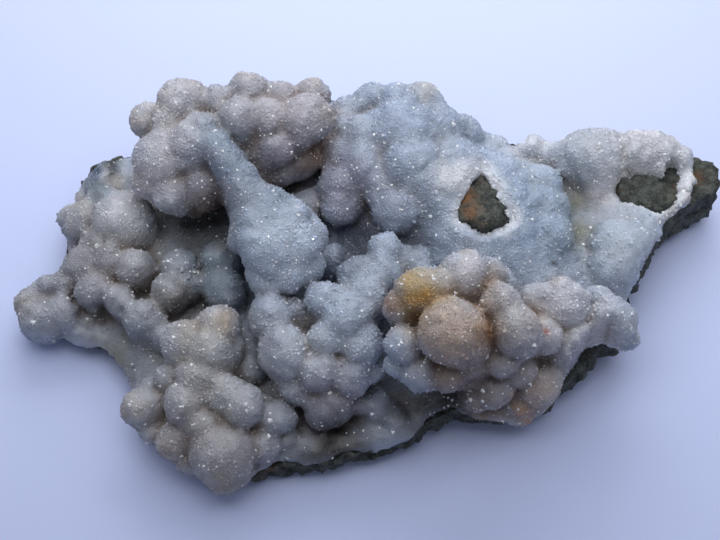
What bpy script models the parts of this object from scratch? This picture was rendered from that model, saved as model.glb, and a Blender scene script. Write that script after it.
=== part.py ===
"""Chalcedony hand specimen: a botryoidal crust grown on a broken slab of basalt.

The crust is a sheet with clusters of round lumps on it. Lumps, the slab's edge and its
bare windows are listed as they show to someone who looks down on the specimen from the
front: how far right and up of the middle of that view, and how high above the resting
face. All sizes are in millimetres until a mesh is written, which is in metres.
"""

import math

import bmesh
import bpy
import numpy as np
from mathutils import Vector, noise

MM = 0.001

# The view that the lists below are made in: its tilt, its distance and where it aims
LOOK_DOWN = math.radians(60)
LOOK_FROM = 233.0
AIM = np.array([0.0, -10.4, 18.0])
RIGHTWARD = np.array([1.0, 0.0, 0.0])
UPWARD = np.array([0.0, math.sin(LOOK_DOWN), math.cos(LOOK_DOWN)])
EYE = AIM + LOOK_FROM * np.array([0.0, -math.cos(LOOK_DOWN), math.sin(LOOK_DOWN)])

# Moves the middle of the specimen's footprint onto the origin
TO_MIDDLE = (-2.6, 8.5)

# Between the crust and the basalt, which are separate solids
GAP = 0.3

# Fusing the lumps: cell size, how wide a crease is filled, and the share of faces kept
VOXEL = 0.6
FILLET = 0.5
KEEP_FACES = 0.047

# Basalt: its least thickness, and swells of its upper face as x, y, rise, spread
SLAB = 4.5
SWELLS = [
    (20, 2, 13, 11),
    (6, 17, 10, 13),
    (51, 7, 7, 12),
    (38, 4, -3, 5),
    (-24, 12, 4, 12),
    (30, -14, 4, 12),
]
HUB = np.array([5.0, -5.0])
REST_INSET = 4.0
CHIP = 2.2
DEEPEST_CHIP = -0.7
CHIP_PITCH = 0.23

# The slab's upper edge, anticlockwise from the right tip: right, up, height, the height of
# the broken side's lower edge, and how far the crust reaches past the slab there
SLAB_EDGE = [
    (60.3, 16.7, 12, 4, -1.5), (58.7, 18.2, 12, 4, -1.5), (56.2, 18.7, 12, 4, -1),
    (49.2, 21.2, 9, 2, -1), (40.0, 21.7, 9, 2, -1), (33.3, 20.0, 9.5, 2, -1),
    (28.3, 20.8, 10, 2, -1), (24.2, 21.8, 12, 3, -0.8), (20.0, 24.0, 13, 3, -0.8),
    (16.8, 26.3, 14, 4, -0.8), (14.5, 27.3, 14, 4, -0.8), (6.7, 28.7, 14, 4, -1),
    (-2.2, 29.2, 15, 4, -1), (-4.5, 29.0, 15, 4, -1), (-11.7, 25.8, 11, 3, -1),
    (-21.7, 23.5, 10, 2, -1), (-31.7, 21.2, 9, 2, -1), (-37.5, 20.0, 8, 2, -1),
    (-41.2, 18.8, 8, 1.5, -1), (-44.2, 18.0, 8, 1.5, -1.5), (-46.7, 15.5, 8, 1.5, -1),
    (-47.7, 12.5, 7, 1, -0.5), (-48.0, 6.7, 6, 1, -0.5), (-49.5, 0.0, 5.5, 1, -0.5),
    (-51.5, -3.3, 5, 1, 0), (-52.0, -6.5, 4.5, 1, 1), (-50.0, -9.5, 4.5, 1, 2.5),
    (-46.3, -11.0, 4.5, 1, 2.5), (-41.5, -12.7, 4.5, 1, 2.5), (-38.0, -16.0, 4.5, 1, 2.5),
    (-36.0, -20.5, 4.5, 1, 2), (-33.5, -25.0, 4.5, 1, 2), (-29.2, -29.5, 5, 1, 2),
    (-22.5, -32.5, 5, 1, 1.5), (-16.8, -33.8, 5.5, 1, 0), (-15.0, -33.0, 6, 1, -0.5),
    (-10.0, -32.3, 6, 1.5, -0.5), (-6.3, -32.2, 6, 2, -0.5), (0.0, -30.8, 6, 3, -0.4),
    (5.8, -29.0, 6.5, 3, -0.4), (9.2, -27.8, 7, 3, -0.4), (11.7, -25.3, 7.5, 2.5, -0.6),
    (15.8, -23.5, 8, 4, -0.6), (20.0, -24.2, 7, 4, 1.2), (25.8, -24.3, 6, 3, 1.5),
    (30.8, -22.6, 6.5, 3, 1.2), (32.7, -21.3, 8, 3, -0.6), (33.3, -19.2, 9.5, 4, -0.8),
    (36.7, -17.3, 9.5, 5, -0.8), (38.7, -14.7, 10, 5, -0.8), (40.5, -11.7, 10.5, 5, -0.6),
    (43.5, -12.5, 8, 4, 1.2), (45.2, -9.2, 9, 5, 1.5), (44.8, -5.0, 10.5, 6, 1),
    (46.7, -1.3, 11.5, 7, -0.5), (48.7, 2.8, 12, 7, -0.6), (50.8, 7.0, 12, 6, -0.6),
    (53.3, 9.7, 12, 4, -0.8), (56.7, 12.2, 12, 3, -1.2), (60.0, 13.3, 12, 3.5, -1.5),
]
CRUST_DEPTH = 2.5

# Windows where the crust is missing and the basalt stands bare: right, up of each corner
UPPER_WINDOW = [
    (20.3, 15.8), (18.3, 13.3), (16.7, 10.8), (16.5, 8.7), (18.3, 7.7), (20.8, 6.8),
    (23.3, 7.7), (24.8, 8.7), (23.7, 10.5), (22.3, 13.0),
]
UPPER_WINDOW_HEIGHT = 21.5
RIGHT_WINDOW = [
    (42.5, 14.2), (43.7, 15.3), (46.7, 16.0), (49.2, 15.3), (51.3, 13.3), (52.7, 11.7),
    (50.3, 9.7), (49.2, 9.7), (46.7, 10.8), (43.7, 11.2),
]
RIGHT_WINDOW_HEIGHT = 13.8

# Lumps: right, up, height, radius
TOWER = [
    (-35.5, 25.0, 23, 3.0), (-29.0, 27.7, 25.5, 4.8), (-24.0, 27.5, 26, 3.5),
    (-18.5, 29.3, 26.5, 3.8), (-13.0, 28.8, 26, 3.0), (-8.2, 29.0, 25.5, 3.2),
    (-9.2, 24.7, 26.5, 4.6), (-15.3, 25.0, 27, 3.8), (-20.0, 25.0, 27.5, 3.8),
    (-14.2, 20.3, 24.5, 3.7), (-10.0, 18.3, 19.5, 3.5), (-6.7, 20.8, 19, 3.0),
    (-13.3, 16.7, 19, 3.5), (-32.5, 18.3, 23, 5.4), (-27.5, 20.0, 25.5, 4.6),
    (-31.3, 24.2, 24.5, 3.6), (-25.8, 23.3, 26.5, 3.6), (-30.8, 12.8, 20, 4.2),
    (-35.0, 14.2, 20.5, 3.0), (-25.8, 14.2, 21.5, 4.3), (-22.0, 17.5, 25, 3.5),
    (-20.8, 13.3, 23, 3.2), (-24.2, 21.7, 28, 2.7), (-20.8, 19.2, 28, 2.8),
    (-18.0, 16.3, 27.5, 2.8),
]
FINGER = [
    (-15.3, 10.8, 25.5, 4.7), (-12.5, 8.0, 25, 5.4), (-16.3, 7.5, 24.5, 5.4),
    (-10.3, 4.2, 24, 4.7), (-14.7, 4.2, 24.5, 5.4), (-11.7, 0.3, 22, 4.2),
    (-15.3, -0.8, 20.5, 3.0),
]
DOME = [
    (1.8, 27.8, 21, 3.8), (6.3, 27.3, 22, 3.8), (10.5, 28.0, 21, 3.6),
    (-1.7, 25.8, 20, 3.2), (6.7, 21.7, 20, 7.0), (12.5, 22.5, 18.5, 5.5),
    (2.0, 21.7, 20, 5.2), (8.3, 16.7, 20.5, 6.0), (17.0, 22.5, 15.5, 3.8),
    (15.8, 17.5, 19, 5.2), (-2.8, 23.3, 19.5, 2.7), (-3.3, 18.7, 19.5, 3.2),
    (-3.7, 14.2, 18.5, 3.8), (-3.7, 10.3, 17, 3.2), (-8.7, 10.8, 15, 2.8),
    (1.0, 16.7, 20, 4.2), (4.2, 13.3, 19.5, 3.8), (6.2, 9.7, 19.5, 4.2),
    (11.7, 13.3, 20, 4.8), (10.8, 9.7, 18, 3.2),
]
RIGHT_END = [
    (28.3, 20.3, 13, 2.8), (22.8, 20.8, 13.5, 1.7), (31.3, 18.7, 13, 2.5),
    (38.3, 18.3, 14, 5.7), (35.0, 17.5, 13, 3.8), (40.8, 20.0, 14, 3.7),
    (45.3, 19.7, 14, 3.7), (48.7, 20.0, 13.5, 3.1), (51.3, 20.0, 13, 2.6),
    (53.8, 18.7, 12.5, 2.2), (39.2, 14.2, 12, 3.7), (43.0, 3.3, 12, 5.2),
    (45.8, 4.2, 12.5, 3.8), (41.7, 0.0, 11.5, 4.2), (45.0, 0.3, 11, 3.2),
    (48.3, 5.8, 12, 2.2),
]
RUSTY = [
    (17.2, -0.8, 28, 4.3), (21.7, -0.8, 26.5, 3.0), (10.0, -3.7, 27.5, 4.2),
    (6.3, -6.3, 26, 2.8), (13.3, -2.5, 28.5, 3.0), (15.3, -10.3, 29, 6.0),
    (23.3, -5.8, 27.5, 3.9), (25.8, -10.0, 27, 4.6), (7.2, -12.5, 24.5, 3.4),
    (10.0, -17.0, 21, 3.4), (6.0, -15.8, 21, 2.4), (14.7, -17.5, 20.5, 3.5),
    (18.3, -15.8, 22, 3.0), (23.3, -15.3, 21.5, 3.2), (33.7, -5.8, 23, 4.6),
    (29.2, -5.0, 23, 3.0), (30.8, -10.8, 22, 3.5), (36.2, -12.5, 19, 4.3),
    (41.7, -8.7, 17.5, 4.3), (39.2, -5.0, 18, 3.0), (44.2, -10.8, 14, 2.3),
    (30.0, -19.2, 13.5, 4.1), (33.3, -17.0, 14, 3.0), (22.5, -19.7, 14.5, 3.5),
    (26.7, -16.7, 17, 3.5), (26.7, -21.7, 9, 3.0), (19.2, -20.8, 12, 3.0),
]
MIDDLE = [
    (-14.7, -8.0, 17.5, 4.3), (-10.3, -6.7, 17.5, 2.6), (-12.5, -13.7, 16.5, 5.1),
    (-6.3, -5.0, 20.5, 3.4), (-2.5, -8.3, 19.5, 4.8), (0.0, -12.5, 17.5, 4.1),
    (-5.8, -11.3, 18.5, 3.8), (-6.7, -16.7, 15.5, 4.2), (-1.7, -17.5, 14.5, 4.1),
    (-5.0, -22.5, 11, 4.3), (-10.8, -19.2, 13, 3.4), (2.0, -17.0, 14, 2.5),
    (1.2, -5.0, 19.5, 3.8), (2.5, -22.5, 8.5, 2.8), (6.3, -25.8, 6.5, 3.0),
    (-0.8, -21.7, 9.5, 2.8),
]
BRIDGE = [
    (4.2, 3.0, 20, 3.2), (4.2, -0.8, 19.5, 3.4), (-0.8, -0.8, 19, 3.4),
    (-4.2, 2.0, 15, 2.4), (8.7, 1.3, 18.5, 3.0),
]
FRONT_LEFT = [
    (-23.3, -9.2, 16.5, 3.9), (-29.2, -12.5, 14.5, 4.3), (-25.0, -13.7, 16, 4.1),
    (-21.7, -12.5, 14, 2.6), (-26.7, -18.0, 14, 4.3), (-31.7, -18.3, 11.5, 3.2),
    (-35.8, -23.0, 9.5, 3.9), (-35.0, -20.0, 9.5, 2.5), (-29.2, -22.0, 13, 4.1),
    (-22.5, -20.8, 14, 3.8), (-19.5, -22.5, 13.5, 4.1), (-14.2, -24.7, 10.5, 3.7),
    (-12.5, -28.3, 7, 2.5), (-15.8, -29.2, 8.5, 3.4), (-23.0, -30.8, 9.5, 5.6),
    (-22.5, -33.3, 7, 4.2), (-30.8, -28.3, 8.5, 3.7), (-28.3, -31.7, 6.5, 2.8),
    (-34.2, -26.7, 7.5, 2.8), (-25.8, -25.8, 11.5, 3.4), (-18.3, -12.8, 10, 2.8),
    (-18.3, -16.3, 8.5, 3.0),
]
SHOULDER = [
    (-39.2, 8.0, 11.5, 5.5), (-45.3, 8.0, 9.5, 4.0), (-48.0, 8.7, 8.5, 2.4),
    (-42.5, 10.8, 10, 3.7), (-43.3, 4.2, 10, 3.4), (-45.8, 0.3, 9.5, 4.0),
    (-41.7, 1.3, 10.5, 3.4), (-37.5, 0.3, 11.5, 3.7), (-49.2, -2.5, 8.5, 2.8),
    (-52.0, -3.3, 7.5, 2.8), (-54.7, -5.8, 7, 2.9), (-53.0, -8.3, 6.5, 4.0),
    (-50.0, -7.0, 7.5, 3.0), (-44.2, -3.3, 10, 3.4), (-40.0, -5.0, 10.5, 2.9),
    (-35.8, -8.0, 10.5, 3.7), (-32.5, -10.8, 9.5, 2.6), (-30.0, 0.3, 11.5, 3.7),
    (-32.0, -3.7, 11.5, 3.4), (-28.3, -2.5, 11, 2.4), (-23.0, 1.3, 11.5, 3.8),
    (-22.5, -3.3, 10.5, 3.8), (-43.3, 13.3, 9, 2.5), (-41.7, 16.3, 9, 2.0),
]

# Lumps on the sides that the view hides, in plan: x, y, height, radius
TOWER_BACK = [
    (-33, 15, 18, 3.5), (-26, 18, 18.5, 4.0), (-18, 19.5, 19, 4.0), (-11, 18.5, 18.5, 3.6),
    (-30, 14, 12.5, 3.6), (-22, 16.5, 12.5, 4.0), (-14, 17.5, 13, 3.8), (-36, 9, 15, 3.0),
    (-27, 8, 14, 3.6), (-17, 9, 15, 3.6),
]
DOME_BACK = [
    (2, 22, 14.5, 3.8), (9, 22.5, 14.5, 4.0), (16, 19.5, 13, 3.4), (-4, 21.5, 13, 2.4),
]
RUSTY_BACK = [
    (16, -14, 19.5, 4.0), (22, -14.5, 19, 4.0), (27, -18, 17.5, 3.6), (10.5, -15, 19.5, 3.6),
    (34, -17, 14, 3.6), (12, -23, 13, 3.0), (18, -25, 12, 3.2),
]
BACK_RIM = [
    (-31, 18.5, 9, 2.4), (-22, 21, 10.5, 2.6), (33, 18, 10.5, 2.6), (44, 19.5, 10, 2.4),
    (24, 18, 12, 2.2),
]

# Where each cluster grew from, in plan: x, y, height (None: straight up from the slab), and
# whether its lumps are listed in plan
ROOTS = [
    (TOWER, (-22, 10, 12), False),
    (TOWER_BACK, (-22, 10, 10), True),
    (FINGER, (-12, 4, 10), False),
    (DOME, (7, 12, 12), False),
    (DOME_BACK, (7, 12, 12), True),
    (BACK_RIM, None, True),
    (RUSTY_BACK, (22, -18, 9), True),
    (RUSTY, (25, -21, 8), False),
    (MIDDLE, (-5, -21, 5), False),
    (FRONT_LEFT, (-25, -28, 4), False),
    (BRIDGE, None, False),
    (RIGHT_END, None, False),
    (SHOULDER, None, False),
]
STALK_STEP = 0.6
STALK_WAIST = 0.92

# Rings of the slab's top and of the sheet, as shares of the way from the hub to the edge
SHARES = (0.93, 0.83, 0.68, 0.5, 0.32, 0.16)


def seen_at(right, up, height):
    """The point at this height that shows there in the view, and the view's scale there."""
    on_plane = AIM + right * RIGHTWARD + up * UPWARD
    run = (height - EYE[2]) / (on_plane[2] - EYE[2])
    return EYE + (on_plane - EYE) * run, run


def to_metres(points):
    return (np.asarray(points, float) + (*TO_MIDDLE, 0.0)) * MM


def slab_top(x, y):
    """Height of the basalt's upper face: the slab, and a bell-shaped swell for each row."""
    z = np.full(np.shape(x), SLAB, float)
    for middle_x, middle_y, rise, spread in SWELLS:
        away = (x - middle_x) ** 2 + (y - middle_y) ** 2
        z = z + rise * np.exp(-away / (2 * spread**2))
    return z


def edge_ring(reach):
    """The slab's edge moved out by reach, with its heights."""
    points = np.array([seen_at(right, up, height)[0] for right, up, height, _, _ in SLAB_EDGE])
    away = points[:, :2] - HUB
    away /= np.linalg.norm(away, axis=1)[:, None]
    points[:, :2] += away * np.broadcast_to(reach, len(points))[:, None]
    return points


def inner_ring(edge, share, rise):
    """A ring inside the edge. It follows the swells, and near the edge the edge's height."""
    ring = edge.copy()
    ring[:, :2] = HUB + (edge[:, :2] - HUB) * share
    by_edge = np.clip((share - 0.6) / 0.4, 0, 1) ** 2
    swells = slab_top(ring[:, 0], ring[:, 1])
    ring[:, 2] = swells * (1 - by_edge) + edge[:, 2] * by_edge + rise
    return ring


def loft(name, rings):
    """A closed mesh of triangles through rings of points, its first and last ring filled."""
    mesh = bmesh.new()
    rows = [[mesh.verts.new(point) for point in to_metres(ring)] for ring in rings]
    first = mesh.verts.new(to_metres(rings[0].mean(axis=0)))
    last = mesh.verts.new(to_metres(rings[-1].mean(axis=0)))
    for i in range(len(rows[0])):
        j = (i + 1) % len(rows[0])
        mesh.faces.new((rows[0][j], rows[0][i], first))
        mesh.faces.new((rows[-1][i], rows[-1][j], last))
        for row, following in zip(rows, rows[1:]):
            mesh.faces.new((row[i], row[j], following[j]))
            mesh.faces.new((row[i], following[j], following[i]))
    bmesh.ops.recalc_face_normals(mesh, faces=mesh.faces)
    data = bpy.data.meshes.new(name)
    mesh.to_mesh(data)
    mesh.free()
    thing = bpy.data.objects.new(name, data)
    bpy.context.scene.collection.objects.link(thing)
    return thing


def as_helper(thing):
    """Keeps a solid that only cuts or joins another out of the finished specimen."""
    thing.hide_render = True
    thing.display_type = "WIRE"
    return thing


def add_boolean(thing, operation, other):
    cut = thing.modifiers.new(other.name, "BOOLEAN")
    cut.operation = operation
    cut.solver = "EXACT"
    cut.object = other


def window_form(name, corners, height, ease, rise):
    """A prism under a window, eased out sideways, from inside the slab to its top."""
    ring = np.array([seen_at(right, up, height)[0] for right, up in corners])
    away = ring[:, :2] - ring[:, :2].mean(axis=0)
    ring[:, :2] += away / np.linalg.norm(away, axis=1)[:, None] * ease
    low = ring.copy()
    low[:, 2] = SLAB
    ring[:, 2] += rise
    return as_helper(loft(name, [low, ring]))


def slab_form(name, ease, below, rise):
    """The basalt, eased out on every side, with the bosses that fill its windows."""
    edge = edge_ring(ease)
    edge[:, 2] += ease
    lower = edge_ring(ease + 0.1)
    lower[:, 2] = [row[3] for row in SLAB_EDGE]
    chips = np.array([noise.noise(Vector(point) * CHIP_PITCH) for point in edge])
    middle = edge_ring(ease + np.maximum(CHIP * (chips - 0.1), DEEPEST_CHIP))
    middle[:, 2] = (edge[:, 2] + lower[:, 2]) / 2 + chips - 0.4
    rest = edge_ring(ease - REST_INSET)
    rest[:, 2] = 0
    rings = [rest, lower, middle, edge]
    if below:
        lowest = rest.copy()
        lowest[:, 2] = -below
        rings.insert(0, lowest)
    rings += [inner_ring(edge_ring(0.0), share, ease) for share in SHARES]
    slab = loft(name, rings)
    windows = (("upper", UPPER_WINDOW, UPPER_WINDOW_HEIGHT),
               ("right", RIGHT_WINDOW, RIGHT_WINDOW_HEIGHT))
    for place, corners, height in windows:
        boss = window_form(f"{name}_{place}_boss", corners, height, ease, rise)
        add_boolean(slab, "UNION", boss)
    return slab


def sheet_form(name):
    """The crust's sheet between the clusters, sunk into the slab so that nothing is hollow."""
    edge = edge_ring(np.array([row[4] for row in SLAB_EDGE]))
    sunk = ((0.16, 2.5), (0.5, 2.5), (0.75, 2.5), (0.94, 1.2), (0.985, 0.7))
    rings = [inner_ring(edge, share, -depth) for share, depth in sunk]
    for share, rise in ((1.0, 0.1), (0.985, 0.55), (0.95, 0.85), (0.9, 1.0)):
        rings.append(inner_ring(edge, share, CRUST_DEPTH * rise))
    rings += [inner_ring(edge, share, CRUST_DEPTH) for share in SHARES[2:]]
    return loft(name, rings)


def unit_ball(fineness):
    """Points and triangles of an icosphere of radius 1."""
    mesh = bmesh.new()
    bmesh.ops.create_icosphere(mesh, subdivisions=fineness, radius=1.0)
    points = np.array([vert.co for vert in mesh.verts])
    faces = np.array([[vert.index for vert in face.verts] for face in mesh.faces])
    mesh.free()
    return points, faces


def lump_and_stalk(row, root, in_plan):
    """Balls, as x, y, z, radius: the lump, then the stalk that it grew on, from its root."""
    *place, radius = row
    centre = np.array(place)
    if not in_plan:
        centre, scale = seen_at(*place)
        radius *= scale
    if root is None:
        root = (centre[0], centre[1], float(slab_top(centre[0], centre[1])))
    way = np.array(root) - centre
    steps = int(np.linalg.norm(way) / (STALK_STEP * radius))
    balls = [(*centre, radius)]
    for step in range(1, steps + 1):
        balls.append((*(centre + way * (step / steps)), radius * STALK_WAIST))
    return balls


def crust_form(name):
    """The sheet and every lump in one mesh, fused by a voxel remesh and thinned."""
    balls = np.array([ball for cluster, root, in_plan in ROOTS for row in cluster
                      for ball in lump_and_stalk(row, root, in_plan)])
    points, faces = unit_ball(3)
    sheet = sheet_form(name)
    before = np.array([vert.co for vert in sheet.data.vertices])
    around = to_metres(balls[:, None, :3] + points[None] * balls[:, None, 3:])
    first = len(before) + np.arange(len(balls)) * len(points)
    corners = [list(face.vertices) for face in sheet.data.polygons]
    corners += (faces[None] + first[:, None, None]).reshape(-1, 3).tolist()
    bpy.data.objects.remove(sheet)
    data = bpy.data.meshes.new(name)
    data.from_pydata(np.vstack([before, around.reshape(-1, 3)]), [], corners)
    thing = bpy.data.objects.new(name, data)
    bpy.context.scene.collection.objects.link(thing)
    for swell in (0.0, FILLET, -FILLET):
        if swell:
            move = thing.modifiers.new("swell", "DISPLACE")
            move.strength = swell * MM
            move.mid_level = 0.0
        fuse = thing.modifiers.new("fuse", "REMESH")
        fuse.mode = "VOXEL"
        fuse.voxel_size = VOXEL * MM
        fuse.use_smooth_shade = True
    soften = thing.modifiers.new("soften", "SMOOTH")
    soften.factor = 0.5
    soften.iterations = 2
    thin = thing.modifiers.new("thin", "DECIMATE")
    thin.ratio = KEEP_FACES
    return thing


def material(name, colour, roughness):
    made = bpy.data.materials.new(name)
    made.use_nodes = True
    shader = made.node_tree.nodes["Principled BSDF"]
    shader.inputs["Base Color"].default_value = (*colour, 1)
    shader.inputs["Roughness"].default_value = roughness
    shader.inputs["Metallic"].default_value = 0.0
    return made


def build():
    for thing in list(bpy.data.objects):
        bpy.data.objects.remove(thing)
    slab = slab_form("basalt_matrix", ease=0.0, below=0.0, rise=0.0)
    slab.data.materials.append(material("basalt", (0.035, 0.042, 0.038), 0.85))
    crust = crust_form("chalcedony_crust")
    crust.data.materials.append(material("chalcedony", (0.42, 0.43, 0.47), 0.35))
    space = as_helper(slab_form("slab_space", ease=GAP, below=10.0, rise=15.0))
    add_boolean(crust, "DIFFERENCE", space)


build()
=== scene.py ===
# %% [markdown]
# # A chalcedony specimen, dressed for its picture
# The object is a hand specimen: a grape-like crust of chalcedony, sugared all over with tiny
# quartz crystals, on a broken slab of dark basalt. The solids of both pieces are already
# there, as a frame with fixed sizes. This lesson puts finely shaped, finely finished pieces
# on them. The frame is loaded first, and its box later sets the bounds of the crust's grid.

# %% Load the frame
import math
import bpy
import numpy as np
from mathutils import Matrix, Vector


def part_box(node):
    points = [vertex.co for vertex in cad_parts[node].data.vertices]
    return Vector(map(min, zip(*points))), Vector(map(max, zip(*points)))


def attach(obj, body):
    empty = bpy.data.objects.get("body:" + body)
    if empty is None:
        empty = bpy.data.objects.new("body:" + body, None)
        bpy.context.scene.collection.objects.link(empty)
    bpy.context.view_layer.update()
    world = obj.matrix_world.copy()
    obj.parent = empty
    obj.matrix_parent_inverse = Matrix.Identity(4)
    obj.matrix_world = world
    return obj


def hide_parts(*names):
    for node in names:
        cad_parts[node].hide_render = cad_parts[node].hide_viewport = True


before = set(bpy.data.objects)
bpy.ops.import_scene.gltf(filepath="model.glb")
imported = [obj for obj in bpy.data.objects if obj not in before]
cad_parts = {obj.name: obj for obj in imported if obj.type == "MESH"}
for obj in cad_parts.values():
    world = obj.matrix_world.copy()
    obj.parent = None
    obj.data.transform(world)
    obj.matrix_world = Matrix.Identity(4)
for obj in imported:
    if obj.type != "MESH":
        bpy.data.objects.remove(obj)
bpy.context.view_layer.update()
MM = 0.001

# %% [markdown]
# ## Say where things are
# A specimen has no square corners to measure from, so every lump and stain is listed as it
# shows to someone who looks down on it from the front: how far right and up of the middle of
# that view, in millimetres, and how high above the table. A point's place then follows from
# the sight line. The same camera makes the picture later. Another way would be to type x, y
# and z by hand, but such lists are hard to set against a picture.

# %% The view that the lists are made in
LOOK_DOWN = math.radians(60)
LOOK_FROM = 233.0
AIM = np.array([0.0, -10.4, 18.0])
UPWARD = np.array([0.0, math.sin(LOOK_DOWN), math.cos(LOOK_DOWN)])
EYE = AIM + LOOK_FROM * np.array([0.0, -math.cos(LOOK_DOWN), math.sin(LOOK_DOWN)])
TO_MIDDLE = np.array([-2.6, 8.5, 0.0])


def seen_at(right, up, height):
    """Places on the sight lines through (right, up), where they meet the given heights.

    Each is the eye, plus the way to the point on the aim plane times a share. The share is
    how far the line drops to the height, over how far it drops to the aim plane. Things
    are drawn larger or smaller by that share too.
    """
    right, up, height = (np.asarray(v, float) for v in (right, up, height))
    on_plane = AIM + right[..., None] * np.array([1.0, 0.0, 0.0]) + up[..., None] * UPWARD
    share = (height - EYE[2]) / (on_plane[..., 2] - EYE[2])
    return EYE + (on_plane - EYE) * share[..., None], share


TOWARD_EYE = (EYE - AIM) / LOOK_FROM


def in_view(points):
    """How each point shows: right and up on the aim plane, and its depth in front of it."""
    depth = (points - AIM) @ TOWARD_EYE
    scale = LOOK_FROM / (LOOK_FROM - depth)
    return points[:, 0] * scale, (points - AIM) @ UPWARD * scale, depth


print("the view's middle at table height", seen_at(0, 0, 0)[0].round(1))

# %% [markdown]
# ## List the lumps
# Chalcedony grows as many small balls of fibres that swell until they touch, hence the look
# of a bunch of grapes. Each row is one such lump: right, up, height and radius. The
# clusters have the names of what they look like. The last four lists are on the hidden
# side, and are in plan: x, y, height and radius.

# %% Lumps that the view shows
TOWER = [
    (-35.5, 25.0, 23, 3.0), (-29.0, 27.7, 25.5, 4.8), (-24.0, 27.5, 26, 3.5),
    (-18.5, 29.3, 26.5, 3.8), (-13.0, 28.8, 26, 3.0), (-8.2, 29.0, 25.5, 3.2),
    (-9.2, 24.7, 26.5, 4.6), (-15.3, 25.0, 27, 3.8), (-20.0, 25.0, 27.5, 3.8),
    (-14.2, 20.3, 24.5, 3.7), (-10.0, 18.3, 19.5, 3.5), (-6.7, 20.8, 19, 3.0),
    (-13.3, 16.7, 19, 3.5), (-32.5, 18.3, 23, 5.4), (-27.5, 20.0, 25.5, 4.6),
    (-31.3, 24.2, 24.5, 3.6), (-25.8, 23.3, 26.5, 3.6), (-30.8, 12.8, 20, 4.2),
    (-35.0, 14.2, 20.5, 3.0), (-25.8, 14.2, 21.5, 4.3), (-22.0, 17.5, 25, 3.5),
    (-20.8, 13.3, 23, 3.2),
]
ARM = [
    (-25.2, 21.7, 27.4, 2.6), (-24.0, 20.3, 27.5, 2.7), (-22.8, 18.8, 27.5, 2.8),
    (-21.7, 17.2, 27.5, 2.8), (-20.5, 15.4, 27.3, 3.0), (-19.4, 13.4, 26.8, 3.4),
    (-18.0, 11.6, 26.2, 3.8), (-19.5, 10.5, 24.2, 3.2),
]
FINGER = [
    (-15.8, 9.9, 25.5, 4.5), (-12.9, 7.2, 25, 5.2), (-16.3, 7.5, 24.5, 5.4),
    (-10.3, 4.2, 24, 4.7), (-14.7, 4.2, 24.5, 5.4), (-11.7, 0.3, 22, 4.2),
    (-15.6, -1.2, 20.5, 3.3), (-8.7, 0.8, 21.5, 3.4), (-7.7, 5.5, 23, 3.0),
    (-19.3, 5.2, 22.5, 3.0),
]
DOME = [
    (1.8, 27.8, 21, 3.8), (6.3, 27.3, 22, 3.8), (10.5, 28.0, 21, 3.6),
    (-1.7, 25.8, 20, 3.2), (6.7, 21.7, 20, 7.0), (12.5, 22.5, 18.5, 5.5),
    (2.0, 21.7, 20, 5.2), (8.3, 16.7, 20.5, 6.0), (17.0, 22.5, 15.5, 3.8),
    (15.8, 17.5, 19, 5.2), (-2.8, 23.3, 19.5, 2.7), (-3.3, 18.7, 19.5, 3.2),
    (-3.7, 14.2, 18.5, 3.8), (-3.7, 10.3, 17, 3.2), (-8.7, 10.8, 15, 2.8),
    (1.0, 16.7, 20, 4.2), (4.2, 13.3, 19.5, 3.8), (6.2, 9.7, 19.5, 4.2),
    (11.7, 13.3, 20, 4.8), (10.8, 9.7, 18, 3.2),
]
RIGHT_END = [
    (28.3, 20.3, 13, 2.8), (22.8, 20.8, 13.5, 1.7), (31.3, 18.7, 13, 2.5),
    (38.3, 18.3, 14, 5.7), (35.0, 17.5, 13, 3.8), (40.8, 20.0, 14, 3.7),
    (45.3, 19.7, 14, 3.7), (48.7, 20.0, 13.5, 3.1), (51.3, 20.0, 13, 2.6),
    (53.8, 18.7, 12.5, 2.2), (39.2, 14.2, 12, 3.7), (43.0, 3.3, 12.9, 5.2),
    (45.8, 4.2, 12.9, 3.8), (41.7, 0.0, 12.4, 4.2), (45.0, 0.3, 11, 3.2),
    (48.3, 5.8, 12, 2.2), (41.5, 17.0, 12.5, 3.4), (46.5, 17.6, 12.6, 3.0),
    (50.5, 17.4, 12.2, 2.6), (30.0, 13.5, 14.5, 4.4), (31.0, 9.5, 14.0, 4.8),
    (31.5, 5.0, 13.6, 4.8),
]
RUSTY = [
    (17.2, -0.8, 28, 4.3), (21.7, -0.8, 26.5, 3.0), (10.0, -3.7, 27.5, 4.2),
    (6.3, -6.3, 26, 2.8), (13.3, -2.5, 28.5, 3.0), (15.3, -10.3, 29, 6.0),
    (23.3, -5.8, 27.5, 3.9), (25.8, -10.0, 27, 4.6), (7.2, -12.5, 24.5, 3.4),
    (10.0, -17.0, 21, 3.4), (6.0, -15.8, 21, 2.4), (14.7, -17.5, 20.5, 3.5),
    (18.3, -15.8, 22, 3.0), (23.3, -15.3, 21.5, 3.2), (33.7, -5.8, 23, 4.6),
    (29.2, -5.0, 23, 3.0), (30.8, -10.8, 22, 3.5), (36.2, -12.5, 19, 4.3),
    (41.7, -8.7, 17.5, 4.3), (39.2, -5.0, 18, 3.0), (44.2, -10.8, 14, 2.3),
    (30.0, -19.2, 13.5, 4.1), (33.3, -17.0, 14, 3.0), (22.5, -19.7, 14.5, 3.5),
    (26.7, -16.7, 17, 3.5), (26.7, -21.7, 9, 3.0), (19.2, -20.8, 12, 3.0),
]
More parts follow.
